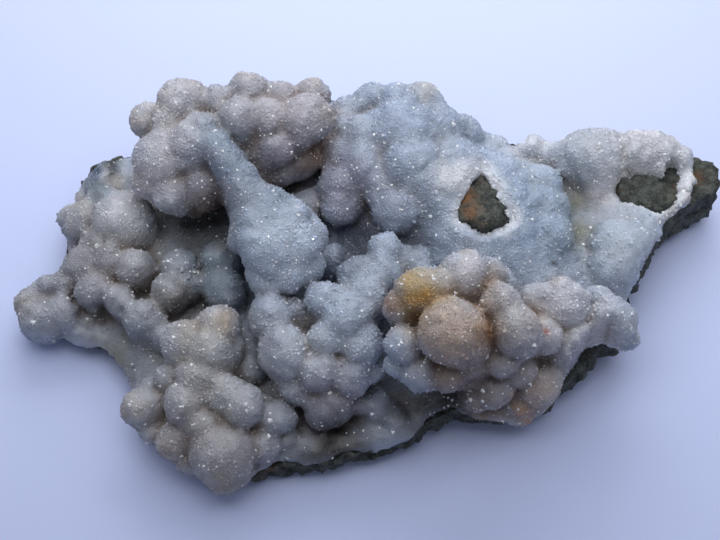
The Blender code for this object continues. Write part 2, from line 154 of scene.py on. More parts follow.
MIDDLE = [
    (-14.7, -8.0, 17.5, 4.3), (-10.3, -6.7, 17.5, 2.6), (-12.5, -13.7, 16.5, 5.1),
    (-6.3, -5.0, 20.5, 3.4), (-2.5, -8.3, 19.5, 4.8), (0.0, -12.5, 17.5, 4.1),
    (-5.8, -11.3, 18.5, 3.8), (-6.7, -16.7, 15.5, 4.2), (-1.7, -17.5, 14.5, 4.1),
    (-5.0, -22.5, 11, 4.3), (-10.8, -19.2, 13, 3.4), (2.0, -17.0, 14, 2.5),
    (1.2, -5.0, 19.5, 3.8), (2.5, -22.5, 8.5, 2.8), (6.3, -25.8, 6.5, 3.0),
    (-0.8, -21.7, 9.5, 2.8),
]
BRIDGE = [
    (4.2, 3.0, 20, 3.2), (4.2, -0.8, 19.5, 3.4), (-0.8, -0.8, 19, 3.4),
    (-4.2, 2.0, 15, 2.4), (8.7, 1.3, 18.5, 3.0),
]
FRONT_LEFT = [
    (-23.3, -9.2, 16.5, 3.9), (-29.2, -12.5, 14.5, 4.3), (-25.0, -13.7, 16, 4.1),
    (-21.7, -12.5, 14, 2.6), (-26.7, -18.0, 14, 4.3), (-31.7, -18.3, 11.5, 3.2),
    (-35.8, -23.0, 9.5, 3.9), (-35.0, -20.0, 9.5, 2.5), (-29.2, -22.0, 13, 4.1),
    (-22.5, -20.8, 14, 3.8), (-19.5, -22.5, 13.5, 4.1), (-14.2, -24.7, 10.5, 3.7),
    (-12.5, -28.3, 7, 2.5), (-15.8, -29.2, 8.5, 3.4), (-23.0, -30.8, 9.5, 5.6),
    (-22.5, -33.3, 7, 4.2), (-30.8, -28.3, 8.5, 3.7), (-28.3, -31.7, 6.5, 2.8),
    (-34.2, -26.7, 7.5, 2.8), (-25.8, -25.8, 11.5, 3.4), (-18.3, -12.8, 10, 2.8),
    (-18.3, -16.3, 8.5, 3.0),
]
SHOULDER = [
    (-39.2, 8.0, 11.5, 5.5), (-45.3, 8.0, 9.5, 4.0), (-48.0, 8.7, 8.5, 2.4),
    (-42.5, 10.8, 10, 3.7), (-43.3, 4.2, 10, 3.4), (-45.8, 0.3, 9.5, 4.0),
    (-41.7, 1.3, 10.5, 3.4), (-37.5, 0.3, 11.5, 3.7), (-49.2, -2.5, 8.5, 2.8),
    (-52.0, -3.3, 7.5, 2.8), (-54.7, -5.8, 7, 2.9), (-53.0, -8.3, 6.5, 4.0),
    (-50.0, -7.0, 7.5, 3.0), (-44.2, -3.3, 10, 3.4), (-40.0, -5.0, 10.5, 2.9),
    (-35.8, -8.0, 10.5, 3.7), (-32.5, -10.8, 9.5, 2.6), (-30.0, 0.3, 11.5, 3.7),
    (-32.0, -3.7, 11.5, 3.4), (-28.3, -2.5, 11, 2.4), (-23.0, 1.3, 11.5, 3.8),
    (-22.5, -3.3, 10.5, 3.8), (-43.3, 13.3, 9, 2.5), (-41.7, 16.3, 9, 2.0),
]

# %% Lumps on the hidden side, and where each cluster grew from
TOWER_BACK = [
    (-33, 15, 18, 3.5), (-26, 18, 18.5, 4.0), (-18, 19.5, 19, 4.0), (-11, 18.5, 18.5, 3.6),
    (-30, 14, 12.5, 3.6), (-22, 16.5, 12.5, 4.0), (-14, 17.5, 13, 3.8), (-36, 9, 15, 3.0),
    (-27, 8, 14, 3.6), (-17, 9, 15, 3.6),
]
DOME_BACK = [
    (2, 22, 14.5, 3.8), (9, 22.5, 14.5, 4.0), (16, 19.5, 13, 3.4), (-4, 21.5, 13, 2.4),
]
RUSTY_BACK = [
    (16, -14, 19.5, 4.0), (22, -14.5, 19, 4.0), (27, -18, 17.5, 3.6), (10.5, -15, 19.5, 3.6),
    (34, -17, 14, 3.6), (12, -23, 13, 3.0), (18, -25, 12, 3.2),
]
BACK_RIM = [
    (-31, 18.5, 9, 2.4), (-22, 21, 10.5, 2.6), (33, 18, 10.5, 2.6), (44, 19.5, 10, 2.4),
    (24, 18, 12, 2.2),
]
SEEN, IN_PLAN = False, True
# Rows, root, which way the rows are given, and how wide the creases between lumps are filled
CLUSTERS = [
    (TOWER, (-22, 10, 12), SEEN, 0.8), (TOWER_BACK, (-22, 10, 10), IN_PLAN, 1.4),
    (ARM, (-22, 10, 12), SEEN, 1.4), (FINGER, (-12, 4, 10), SEEN, 1.0),
    (DOME, (7, 12, 12), SEEN, 1.5),
    (DOME_BACK, (7, 12, 12), IN_PLAN, 1.8), (BACK_RIM, None, IN_PLAN, 1.4),
    (RUSTY_BACK, (22, -18, 9), IN_PLAN, 1.2), (RUSTY, (25, -21, 8), SEEN, 0.7),
    (MIDDLE, (-5, -21, 5), SEEN, 0.7), (FRONT_LEFT, (-25, -28, 4), SEEN, 0.6),
    (BRIDGE, None, SEEN, 1.4), (RIGHT_END, None, SEEN, 1.3), (SHOULDER, None, SEEN, 0.9),
]
print(sum(len(rows) for rows, *_ in CLUSTERS), "lumps in", len(CLUSTERS), "clusters")

# %% [markdown]
# ## Describe the slab under the crust
# The crust lies on the slab, so its underside needs the slab's upper face: a level with
# bell-shaped swells, bent to the height of the broken edge near the rim. The edge is a ring
# of points round a hub, so any point's share of the way from the hub to the edge comes
# from its angle alone.

# %% The slab's upper face and its edge
SLAB = 4.5
SWELLS = [
    (20, 2, 13, 11), (6, 17, 10, 13), (51, 7, 7, 12), (38, 4, -3, 5), (-24, 12, 4, 12),
    (30, -14, 4, 12),
]
HUB = np.array([5.0, -5.0])
RIM_FROM = 0.6
# Right, up, height, and how far the crust reaches past the slab there
EDGE = np.array([
    (60.3, 16.7, 12, -1.5), (58.7, 18.2, 12, -1.5), (56.2, 18.7, 12, -1),
    (49.2, 21.2, 9, -1), (40.0, 21.7, 9, -1), (33.3, 20.0, 9.5, -1), (28.3, 20.8, 10, -1),
    (24.2, 21.8, 12, -0.8), (20.0, 24.0, 13, -0.8), (16.8, 26.3, 14, -0.8),
    (14.5, 27.3, 14, -0.8), (6.7, 28.7, 14, -1), (-2.2, 29.2, 15, -1), (-4.5, 29.0, 15, -1),
    (-11.7, 25.8, 11, -1), (-21.7, 23.5, 10, -1), (-31.7, 21.2, 9, -1), (-37.5, 20.0, 8, -1),
    (-41.2, 18.8, 8, -1), (-44.2, 18.0, 8, -1.5), (-46.7, 15.5, 8, -1),
    (-47.7, 12.5, 7, -0.5), (-48.0, 6.7, 6, -0.5), (-49.5, 0.0, 5.5, -0.5),
    (-51.5, -3.3, 5, 0), (-52.0, -6.5, 4.5, 1), (-50.0, -9.5, 4.5, 2.5),
    (-46.3, -11.0, 4.5, 2.5), (-41.5, -12.7, 4.5, 2.5), (-38.0, -16.0, 4.5, 2.5),
    (-36.0, -20.5, 4.5, 2), (-33.5, -25.0, 4.5, 2), (-29.2, -29.5, 5, 2),
    (-22.5, -32.5, 5, 1.5), (-16.8, -33.8, 5.5, 0), (-15.0, -33.0, 6, -0.5),
    (-10.0, -32.3, 6, -0.5), (-6.3, -32.2, 6, -0.5), (0.0, -30.8, 6, -0.4),
    (5.8, -29.0, 6.5, -0.4), (9.2, -27.8, 7, -0.4), (11.7, -25.3, 7.5, -0.6),
    (15.8, -23.5, 8, -0.6), (20.0, -24.2, 7, 1.2), (25.8, -24.3, 6, 1.5),
    (30.8, -22.6, 6.5, 1.2), (32.7, -21.3, 8, -0.6), (33.3, -19.2, 9.5, -0.8),
    (36.7, -17.3, 9.5, -0.8), (38.7, -14.7, 10, -0.8), (40.5, -11.7, 10.5, -0.6),
    (43.5, -12.5, 8, 0.3), (45.2, -9.2, 9, 0), (44.8, -5.0, 10.5, 0),
    (46.7, -1.3, 11.5, -0.5), (48.7, 2.8, 12, -0.6), (50.8, 7.0, 12, -0.6),
    (53.3, 9.7, 12, -0.8), (56.7, 12.2, 12, -1.2), (60.0, 13.3, 12, -1.5),
])
edge_points = seen_at(EDGE[:, 0], EDGE[:, 1], EDGE[:, 2])[0]
edge_angles = np.arctan2(edge_points[:, 1] - HUB[1], edge_points[:, 0] - HUB[0])
edge_radii = np.hypot(edge_points[:, 0] - HUB[0], edge_points[:, 1] - HUB[1])


def around(x, y, values):
    """The values given at the edge's points, carried to the directions of x, y.

    Between two points of the edge a value changes evenly with the angle round the hub.
    """
    angles = np.arctan2(y - HUB[1], x - HUB[0])
    return np.interp(angles, edge_angles, values, period=2 * np.pi)


def slab_face(x, y, reach=0.0):
    """The slab's height at x, y, and the share of the way from the hub to the edge.

    The height is the level plus, for each swell, its rise times e to the minus half the
    squared distance over the squared spread. From RIM_FROM of the way out it blends into
    the edge's height, by the square of how much of the rest of the way is gone.
    """
    share = np.hypot(x - HUB[0], y - HUB[1]) / around(x, y, edge_radii + reach)
    height = np.full(np.shape(x), SLAB)
    for middle_x, middle_y, rise, spread in SWELLS:
        away = (x - middle_x) ** 2 + (y - middle_y) ** 2
        height = height + rise * np.exp(-away / (2 * spread**2))
    by_edge = np.clip((share - RIM_FROM) / (1 - RIM_FROM), 0, 1) ** 2
    return height * (1 - by_edge) + around(x, y, EDGE[:, 2]) * by_edge, share


print("slab radii in mm, least and most", edge_radii.min().round(1), edge_radii.max().round(1))

# %% [markdown]
# ## Grow the crust as a field
# Balls that melt into each other could be joined by booleans, by metaballs or by a remesh.
# A field does it best here: a grid of points in space, each holding its distance to the
# nearest surface, less than nothing inside. Two shapes are fused by taking the smaller of
# the two distances, softened where they are near each other, which gives the narrow filled
# creases of real botryoidal growth. The whole grid is worked out as arrays.

# %% The grid, and the two ways of joining fields
STEP = 0.6
MARGIN = 1.8
crust_box = np.array(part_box("chalcedony_crust")) / MM - TO_MIDDLE
low_corner, high_corner = crust_box[0] - MARGIN, crust_box[1] + MARGIN
axes = [np.arange(low, high, STEP, dtype=np.float32)
        for low, high in zip(low_corner, high_corner)]
grid_x, grid_y, grid_z = np.meshgrid(*axes, indexing="ij", sparse=True)


def fused(a, b, width):
    """The smaller of two fields, with the crease between them filled.

    It is a mix of both, less width times h times (1 - h), where h runs from 0 to 1 while
    their difference goes from -width to width.
    """
    h = np.clip(0.5 + 0.5 * (a - b) / width, 0, 1)
    return a + (b - a) * h - width * h * (1 - h)


def cut_away(a, b, width):
    """Field a where field b isn't, with the edge between them rounded."""
    return -fused(-a, b, width)


print("grid of", [len(axis) for axis in axes], "points,", STEP, "mm apart")

# %% [markdown]
# ## Lay out the windows
# In two places the crust never closed, or broke off, and the rock shows. Each such window
# is a polygon of the view, laid down on the slab. Four more polygons are chips, where the
# crust broke off with a piece of the rim. The distance to a polygon serves three times:
# for the cut itself, for the crust that thins towards it, and for the white quartz
# that lines it.

# %% Windows and chips
# Each is its height and its corners, as right and up
WINDOWS = [
    (20.5, [(20.3, 15.8), (18.3, 13.3), (16.7, 10.8), (16.5, 8.7), (18.3, 7.7), (20.8, 6.8),
            (23.3, 7.7), (24.8, 8.7), (23.7, 10.5), (22.3, 13.0)]),
    (12.4, [(43.3, 13.3), (44.7, 14.8), (46.7, 15.5), (49.2, 15.3), (50.4, 15.2),
            (50.5, 17.3), (52.0, 18.0), (53.2, 17.2), (53.5, 15.3), (52.7, 14.3),
            (53.2, 13.0), (52.5, 12.0), (50.8, 10.5), (49.2, 9.8), (47.5, 10.7),
            (45.8, 11.5), (44.0, 12.0)]),
]
CHIPS = [
    (12.0, [(49.3, 3.8), (47.0, 1.3), (46.0, -1.7), (45.6, -3.4), (48.9, -3.0),
            (51.8, 0.3), (53.3, 4.8)]),
    (12.0, [(55.8, 18.8), (55.3, 16.3), (56.2, 14.5), (54.6, 12.8), (57.7, 10.0),
            (63.0, 9.0), (64.0, 19.0), (58.5, 20.5)]),
    (10.0, [(39.8, -13.0), (37.3, -14.0), (35.1, -16.6), (33.1, -19.3),
            (32.8, -22), (31.7, -25.2), (36.8, -24.5), (42, -20.3), (43.5, -16.0)]),
    (11.0, [(22.8, 21.6), (24.2, 20.3), (26.7, 19.3), (27.8, 19.9), (26.2, 23.0),
            (23.5, 24.0)]),
]


def outside_polygon(x, y, corners):
    """Distance to a polygon in plan, less than nothing inside it.

    The least distance to any side, with its sign from how often a line to the right of the
    point crosses the sides.
    """
    least, crossings = np.full(np.shape(x), np.inf), np.zeros(np.shape(x), int)
    for (ax, ay), (bx, by) in zip(corners, np.roll(corners, -1, axis=0)):
        wx, wy = bx - ax, by - ay
        t = np.clip(((x - ax) * wx + (y - ay) * wy) / (wx * wx + wy * wy), 0, 1)
        least = np.minimum(least, np.hypot(x - ax - t * wx, y - ay - t * wy))
        spans = (ay > y) != (by > y)
        crossings += spans & (x < ax + (y - ay) * wx / np.where(wy == 0, 1e-9, wy))
    return np.where(crossings % 2 == 1, -least, least)


def plan_of(height, corners):
    """A polygon of the view, laid down at a height along the sight lines, as x and y."""
    right, up = np.array(corners).T
    return seen_at(right, up, height)[0][:, :2]


window_plans = [plan_of(*row) for row in WINDOWS]
chip_plans = [plan_of(*row) for row in CHIPS]
print("windows reach over", [plan.max(0).round(1) - plan.min(0).round(1)
                             for plan in window_plans], "mm")

# %% [markdown]
# The sheet between the clusters comes first. Its top follows the slab at a distance that
# runs out to nothing at the rim, as on the specimen, where a thin pale line of crust ends
# on bare rock. It thins towards the windows too, down to a lip, and it starts a little way
# down in the slab, so that no gap shows under it.

# %% The sheet
CRUST_DEPTH = 2.5
SUNK = 0.8
# The sheet's depth beside a window, and what it gains with each millimetre away from it
LIP = 0.6
BEVEL = 0.9
# Shares of the way to the rim, and the shares of the full depth there
RIM_SHARES = (0.9, 0.95, 0.985, 1.0)
RIM_DEPTHS = (1.0, 0.85, 0.55, 0.1)
plan_x, plan_y = grid_x[:, :, 0] + 0 * grid_y[:, :, 0], grid_y[:, :, 0] + 0 * grid_x[:, :, 0]
slab_height, slab_share = slab_face(plan_x, plan_y)
sheet_radius = around(plan_x, plan_y, edge_radii + EDGE[:, 3])
sheet_under, sheet_share = slab_face(plan_x, plan_y, EDGE[:, 3])
sheet_depth = CRUST_DEPTH * np.interp(sheet_share, RIM_SHARES, RIM_DEPTHS)
for plan in window_plans:
    beside = np.maximum(outside_polygon(plan_x, plan_y, plan), 0)
    sheet_depth = np.minimum(sheet_depth, LIP + BEVEL * beside)
sheet_top = sheet_under + sheet_depth
slopes = np.gradient(sheet_top, STEP)
steepness = np.sqrt(1 + slopes[0] ** 2 + slopes[1] ** 2)
crust = np.maximum((grid_z - sheet_top[:, :, None]) / steepness[:, :, None],
                   ((sheet_share - 1) * sheet_radius)[:, :, None])
crust = np.maximum(crust, (sheet_under - SUNK)[:, :, None] - grid_z).astype(np.float32)
print("highest point of the sheet in mm", float(sheet_top[sheet_share < 1].max().round(1)))

# %% [markdown]
# Each lump is then a ball on a stalk, which is a rod with round ends from the lump down to
# the root of its cluster. Only the part of the grid round each rod is touched.

# %% The lumps on their stalks
STALK_WAIST = 0.92


def rod(x, y, z, start, end, start_radius, end_radius):
    """Distance to a rod with round ends: to the nearest point of its axis, less its radius.

    That point is the share t along the axis, the dot product of both ways over the
    axis's squared length, held between 0 and 1.
    """
    way = np.asarray(end, float) - start
    px, py, pz = x - start[0], y - start[1], z - start[2]
    t = np.clip((px * way[0] + py * way[1] + pz * way[2]) / (way @ way + 1e-9), 0, 1)
    away = np.sqrt((px - t * way[0]) ** 2 + (py - t * way[1]) ** 2 + (pz - t * way[2]) ** 2)
    return away - (start_radius + (end_radius - start_radius) * t)


def add_rod(field, start, end, start_radius, end_radius, crease):
    """Fuses a rod into the part of the field that it can reach."""
    reach = max(start_radius, end_radius) + crease + STEP
    spans = [slice(*np.searchsorted(axis, (min(a, b) - reach, max(a, b) + reach)))
             for axis, a, b in zip(axes, start, end)]
    x, y, z = (axis[span] for axis, span in zip(axes, spans))
    new = rod(x[:, None, None], y[None, :, None], z, start, end, start_radius, end_radius)
    field[tuple(spans)] = fused(field[tuple(spans)], new, crease)


lump_places = []
for rows, root, in_plan, crease in CLUSTERS:
    for *place, radius in rows:
        centre = np.array(place, float)
        if not in_plan:
            centre, scale = seen_at(*place)
            radius = radius * float(scale)
        foot = root or (*centre[:2], float(slab_face(*centre[:2])[0]))
        add_rod(crust, centre, foot, radius, radius * STALK_WAIST, crease)
        lump_places.append((*centre, radius))
lump_places = np.array(lump_places)
print(len(lump_places), "lumps fused, radii", lump_places[:, 3].min().round(1), "to",
      lump_places[:, 3].max().round(1), "mm")

# %% [markdown]
# ## Break the surface up
# Nothing that grows is a true ball. Ripples, the sum of sine waves in random directions,
# push the surface in and out: long ones bend the lumps, and folded ones, whose valleys are
# sharp and crests round, give the half-grown buds that cover the larger lumps.

# %% Ripples and buds
NEAR = 2.5
# How far apart the crests are, how high they are, and whether they are folded
RIPPLES = ((11.0, 0.35, False), (5.0, 0.26, True), (2.3, 0.12, True))
UNEVEN = (0.75, 1.3)
# About the mean size of a wave, so that the folded ones leave the lumps as large as they were
MEAN_SIZE = 0.55


def ripples(points, wavelength, seed, waves=14):
    """Sum of sine waves in random directions, mostly from -1 to 1.

    Each is the sine of two pi times how far the point is along the wave's way, over the
    wavelength, which is a little uneven, and with a random start. The sum is divided by
    the square root of how many waves there are.
    """
    chance = np.random.default_rng(seed)
    ways = chance.normal(size=(waves, 3))
    ways *= 2 * np.pi / wavelength / np.linalg.norm(ways, axis=1)[:, None]
    ways *= chance.uniform(*UNEVEN, (waves, 1))
    turned = points @ ways.T.astype(np.float32) + chance.uniform(0, 2 * np.pi, waves)
    return np.sin(turned).sum(axis=1) / math.sqrt(waves)


close = np.argwhere(np.abs(crust) < NEAR)
close_points = (low_corner + close * STEP).astype(np.float32)
push = np.zeros(len(close), np.float32)
for seed, (wavelength, size, folded) in enumerate(RIPPLES):
    wave = ripples(close_points, wavelength, seed)
    push += size * (MEAN_SIZE - np.abs(wave)) if folded else size * wave
crust[tuple(close.T)] += push
print(len(close), "grid points moved, by", push.min().round(2), "to", push.max().round(2), "mm")

# %% [markdown]
# ## Cut the windows and the underside
# First the whole crust is drawn in by the height of the crystals that will stand on it. The
# windows and the chips are then cut straight up through it, with a ragged edge. A window
# keeps a fairly sharp rim, and a chip, where the thick crust has worn, a rounder one. What
# would lie deep in the slab is cut away last, because no one can see it.

# %% The cuts
CRYSTAL_HEIGHT = 0.25
RAGGED = 0.3
RAGGED_LENGTH = 1.8
# How much smaller a hole is than its polygon, on every side
TIGHTER = 0.1
WINDOW_ROUNDING = 0.4
CHIP_ROUNDING = 1.6
plan_points = np.stack([plan_x, plan_y, 0 * plan_x], axis=-1).reshape(-1, 3)
ragged = RAGGED * ripples(plan_points, RAGGED_LENGTH, seed=21).reshape(plan_x.shape)
crust += CRYSTAL_HEIGHT
for plans, rounding in ((window_plans, WINDOW_ROUNDING), (chip_plans, CHIP_ROUNDING)):
    for plan in plans:
        hole = outside_polygon(plan_x, plan_y, plan) + ragged + TIGHTER
        crust = cut_away(crust, hole[:, :, None] + 0 * grid_z, rounding)
in_slab = np.minimum(slab_height[:, :, None] - grid_z,
                     ((1 - slab_share) * around(plan_x, plan_y, edge_radii))[:, :, None])
crust = np.maximum(crust, in_slab - SUNK).astype(np.float32)
print("crust fills", round(float((crust < 0).sum()) * STEP**3 / 1000, 1), "cubic centimetres")

# %% [markdown]
# ## Put a skin on the field
# A surface net turns the field into a mesh. Every cell of the grid that the surface passes
# through gets one point, in the middle of the places where the surface crosses the cell's
# twelve edges. Every grid line that is crossed gets one four-sided face between the
# points of the four cells round it. No cell is visited by itself: all are worked out at once.

# %% The surface net
CORNERS = np.array([(i, j, k) for i in (0, 1) for j in (0, 1) for k in (0, 1)])
CELL_EDGES = [(a, b) for a in range(8) for b in range(a + 1, 8)
              if np.abs(CORNERS[a] - CORNERS[b]).sum() == 1]


def skin(field, low, step):
    """Points and four-sided faces of the surface where the field is nothing.

    An edge of a cell from corner a to corner b is crossed where the field has gone from its
    value at a to nothing: at the share a / (a - b) of the way. A cell's point is the mean of
    its crossings. A face is turned so that it looks from the inside outwards.
    """
    inside = field < 0
    shape = np.array(field.shape) - 1
    count = sum(inside[i:i + shape[0], j:j + shape[1], k:k + shape[2]].astype(np.int8)
                for i, j, k in CORNERS)
    cells = np.argwhere((count > 0) & (count < 8))
    values = np.stack([field[tuple((cells + corner).T)] for corner in CORNERS], axis=1)
    total, crossed = np.zeros((len(cells), 3)), np.zeros((len(cells), 1))
    for a, b in CELL_EDGES:
        crosses = ((values[:, a] < 0) != (values[:, b] < 0))[:, None]
        t = values[:, a] / np.where(values[:, a] == values[:, b], 1, values[:, a] - values[:, b])
        total += np.where(crosses, CORNERS[a] + t[:, None] * (CORNERS[b] - CORNERS[a]), 0)
        crossed += crosses
    points = low + (cells + total / crossed) * step
    number = np.full(shape, -1)
    number[tuple(cells.T)] = np.arange(len(cells))
    faces = []
    for axis in range(3):
        ahead = np.roll(inside, -1, axis=axis)
        crossings = np.argwhere(inside != ahead)
        crossings = crossings[(crossings > 0).all(axis=1) & (crossings < shape).all(axis=1)]
        side, other = np.eye(3, dtype=int)[[(axis + 1) % 3, (axis + 2) % 3]]
        ring = [crossings, crossings - side, crossings - side - other, crossings - other]
        quads = np.stack([number[tuple(cell.T)] for cell in ring], axis=1)
        outward = inside[tuple(crossings.T)]
        faces.append(np.where(outward[:, None], quads, quads[:, ::-1]))
    return points, np.concatenate(faces)


crust_points, crust_faces = skin(crust, low_corner, STEP)
print(len(crust_points), "points,", 2 * len(crust_faces), "triangles in the crust")

# %% [markdown]
# Blender takes a whole array of points or faces in one call of foreach_set, which is far
# quicker than face by face. Every piece of this lesson goes through the same helper, which
# leaves its object at the origin, with the place of the piece in its mesh.


# %% A mesh from arrays
def piece_from(name, points, faces, smooth):
    """A new object at the origin. Its points are given in mm in the lists' own frame."""
    mesh = bpy.data.meshes.new(name)
    sides = faces.shape[1]
    mesh.vertices.add(len(points))
    mesh.loops.add(faces.size)
    mesh.polygons.add(len(faces))
    mesh.vertices.foreach_set("co", ((points + TO_MIDDLE) * MM).astype(np.float32).ravel())
    mesh.loops.foreach_set("vertex_index", faces.astype(np.int32).ravel())
    mesh.polygons.foreach_set("loop_start", np.arange(0, faces.size, sides, dtype=np.int32))
    mesh.polygons.foreach_set("use_smooth", np.full(len(faces), smooth))
    mesh.update(calc_edges=True)
    made = bpy.data.objects.new(name, mesh)
    bpy.context.scene.collection.objects.link(made)
    return made


def facing(made):
    """The directions that a mesh's points face, one row each."""
    ways = np.empty(3 * len(made.data.vertices), np.float32)
    made.data.vertices.foreach_get("normal", ways)
    return ways.reshape(-1, 3)


crust_piece = piece_from("chalcedony_body", crust_points, crust_faces, True)
crust_facing = facing(crust_piece)
print("share of the crust that faces up", round(float((crust_facing[:, 2] > 0).mean()), 2))

# %% [markdown]
# ## Colour by what happened to the stone, and painted light and shade
# Chalcedony is blue-grey where it is pure and thin, taupe where the fibres hold traces of
# iron, and stained brown and orange where water brought rust. White quartz edges every
# window. Each stain is a soft ball of colour with a place, so the same stain shows from every
# side. Not every ball is a stain: many rows paint light and shade into the colour, lighter
# where a lump would catch light, and darker in hollows, between lumps and under the tower,
# where shade falls. The colours are kept on the mesh's points as an attribute. An image would
# need unwrapping, and noise alone would put the stains in the wrong places. The lists are laid
# on in their order, so rust lies over taupe, and the painted shade of the hollows over all.

# %% The stains
BLUE_GREY = (0.34, 0.385, 0.47)
WHITE = (0.66, 0.66, 0.68)
# Right, up, height, spread, red, green, blue
# Taupe skin where iron is in the fibres, and painted light: some rows lighten lumps that lie in
# shade, such as the shoulder below the tower
TAUPE_SKIN_AND_PAINTED_LIGHT = [
    (-21.7, 21.7, 25, 13, 0.37, 0.35, 0.37), (-11.0, 25.5, 25, 7, 0.40, 0.36, 0.37),
    (-26, -22, 13, 13, 0.36, 0.34, 0.34), (-41.7, 1.7, 11, 14, 0.37, 0.355, 0.36),
    (-39.5, 8, 14, 5.5, 0.62, 0.61, 0.62), (33, -8, 23, 10, 0.42, 0.40, 0.42),
    (22, -10, 26, 9, 0.36, 0.325, 0.31), (38, 18.5, 15, 7, 0.51, 0.50, 0.51),
    (47, 20.8, 14, 6, 0.60, 0.57, 0.59), (28.3, 20.8, 14, 4, 0.70, 0.68, 0.70),
    (-23.3, -9.2, 18, 4, 0.42, 0.39, 0.37), (-10, -13.5, 18, 8, 0.39, 0.40, 0.44),
    (-32.5, 28, 26, 4.5, 0.56, 0.53, 0.53), (-31.7, 17.5, 22, 6, 0.56, 0.53, 0.55),
    (34, -6.7, 24, 4.5, 0.64, 0.62, 0.64), (-45, 1.0, 11, 5.5, 0.25, 0.24, 0.26),
    (-52.5, -5, 9, 4.5, 0.28, 0.28, 0.32), (-35, -3, 12, 4, 0.30, 0.29, 0.30),
    (-28.3, -12.5, 17, 4.5, 0.46, 0.44, 0.42), (-24.2, -23, 12, 3.5, 0.44, 0.44, 0.45),
]
# Blue where the chalcedony is clear and thin. Some rows are painted light and shade: the pale
# ones on the finger make it look lit, and the darkest, below the tower's arm, stand for shade
CLEAR_BLUE_AND_PAINTED_LIGHT = [
    (-24, 21.7, 28, 4, 0.23, 0.28, 0.35), (-20.5, 17, 28, 5, 0.16, 0.21, 0.275),
    (-15, 10, 26, 5, 0.21, 0.27, 0.35), (-14, 3.5, 26, 6, 0.47, 0.53, 0.63),
    (-13, -1.5, 22, 3.5, 0.55, 0.59, 0.69), (-5, -6.7, 21, 5, 0.38, 0.43, 0.52),
    (6.7, 24, 22, 8, 0.34, 0.40, 0.51), (30, 9, 18, 13, 0.30, 0.365, 0.46),
    (44.2, 3.3, 14, 6, 0.46, 0.50, 0.56), (-22.5, 0.8, 12, 7, 0.22, 0.27, 0.31),
    (-38, -14, 6, 7, 0.24, 0.26, 0.29), (-9, -13, 18, 3.5, 0.46, 0.49, 0.54),
    (-43, 11.5, 10, 2.0, 0.20, 0.26, 0.33),
]
# Painted shade: violet-grey darkening in the hollows between lumps and on lower sides that face
# away from the light
PAINTED_VIOLET_SHADE = [
    (-25, 13.3, 20, 4.0, 0.20, 0.18, 0.22), (-1.7, 13.3, 18, 6, 0.27, 0.26, 0.32),
    (5.5, 11, 20, 3.5, 0.25, 0.275, 0.345), (-4, -21.7, 12, 5.5, 0.27, 0.25, 0.29),
    (-14, 16.7, 17, 4.5, 0.17, 0.17, 0.19), (15, -15.5, 25, 4, 0.27, 0.21, 0.21),
    (18, -19.5, 18, 6, 0.24, 0.19, 0.18), (-12, 20, 24, 4, 0.32, 0.29, 0.33),
    (-29, -29, 7, 5, 0.29, 0.26, 0.26), (-20, -31, 8, 5, 0.30, 0.27, 0.27),
]
# Rust, orange and brown where water brought iron; the nearly black rows at the front rim and the
# olive rows in the valley by the right window are painted shade
RUST_AND_PAINTED_SHADE = [
    (-7.5, 20, 18, 2.0, 0.17, 0.09, 0.05), (-8.9, 17.8, 18, 2.4, 0.16, 0.10, 0.06),
    (-22.5, 10.8, 18, 4, 0.13, 0.09, 0.07), (-26, 9.5, 19, 2.5, 0.22, 0.16, 0.12),
    (10, -3.7, 31, 4.8, 0.42, 0.29, 0.10), (9.7, -4.7, 31, 2.4, 0.40, 0.20, 0.02),
    (5.7, -6.4, 26, 2.6, 0.25, 0.16, 0.12), (15.3, -10, 33, 6, 0.41, 0.31, 0.245),
    (19.5, -11, 29, 2.6, 0.38, 0.28, 0.21), (21.3, -10.5, 28, 1.8, 0.33, 0.18, 0.09),
    (27.5, -23, 9, 2.8, 0.50, 0.27, 0.11), (31, -10.3, 25, 0.6, 0.38, 0.14, 0.12),
    (10.8, 30, 20, 2.4, 0.45, 0.41, 0.35), (30, -20, 15, 4.5, 0.40, 0.33, 0.30),
    (36.3, 11.5, 12, 2.4, 0.17, 0.18, 0.14), (36.3, 6, 12, 2.6, 0.22, 0.23, 0.19),
    (-5, -30, 6, 7, 0.10, 0.09, 0.08), (-4, -28.5, 6.5, 4.5, 0.05, 0.045, 0.04),
    (22, 0.5, 26, 1.5, 0.36, 0.29, 0.25), (-22.5, -8.5, 18, 1.6, 0.42, 0.34, 0.27),
    (20, -25, 8, 3.5, 0.34, 0.25, 0.18), (13.3, -28, 6, 4, 0.24, 0.19, 0.15),
    (-41, -15, 5, 3, 0.20, 0.20, 0.17),
]
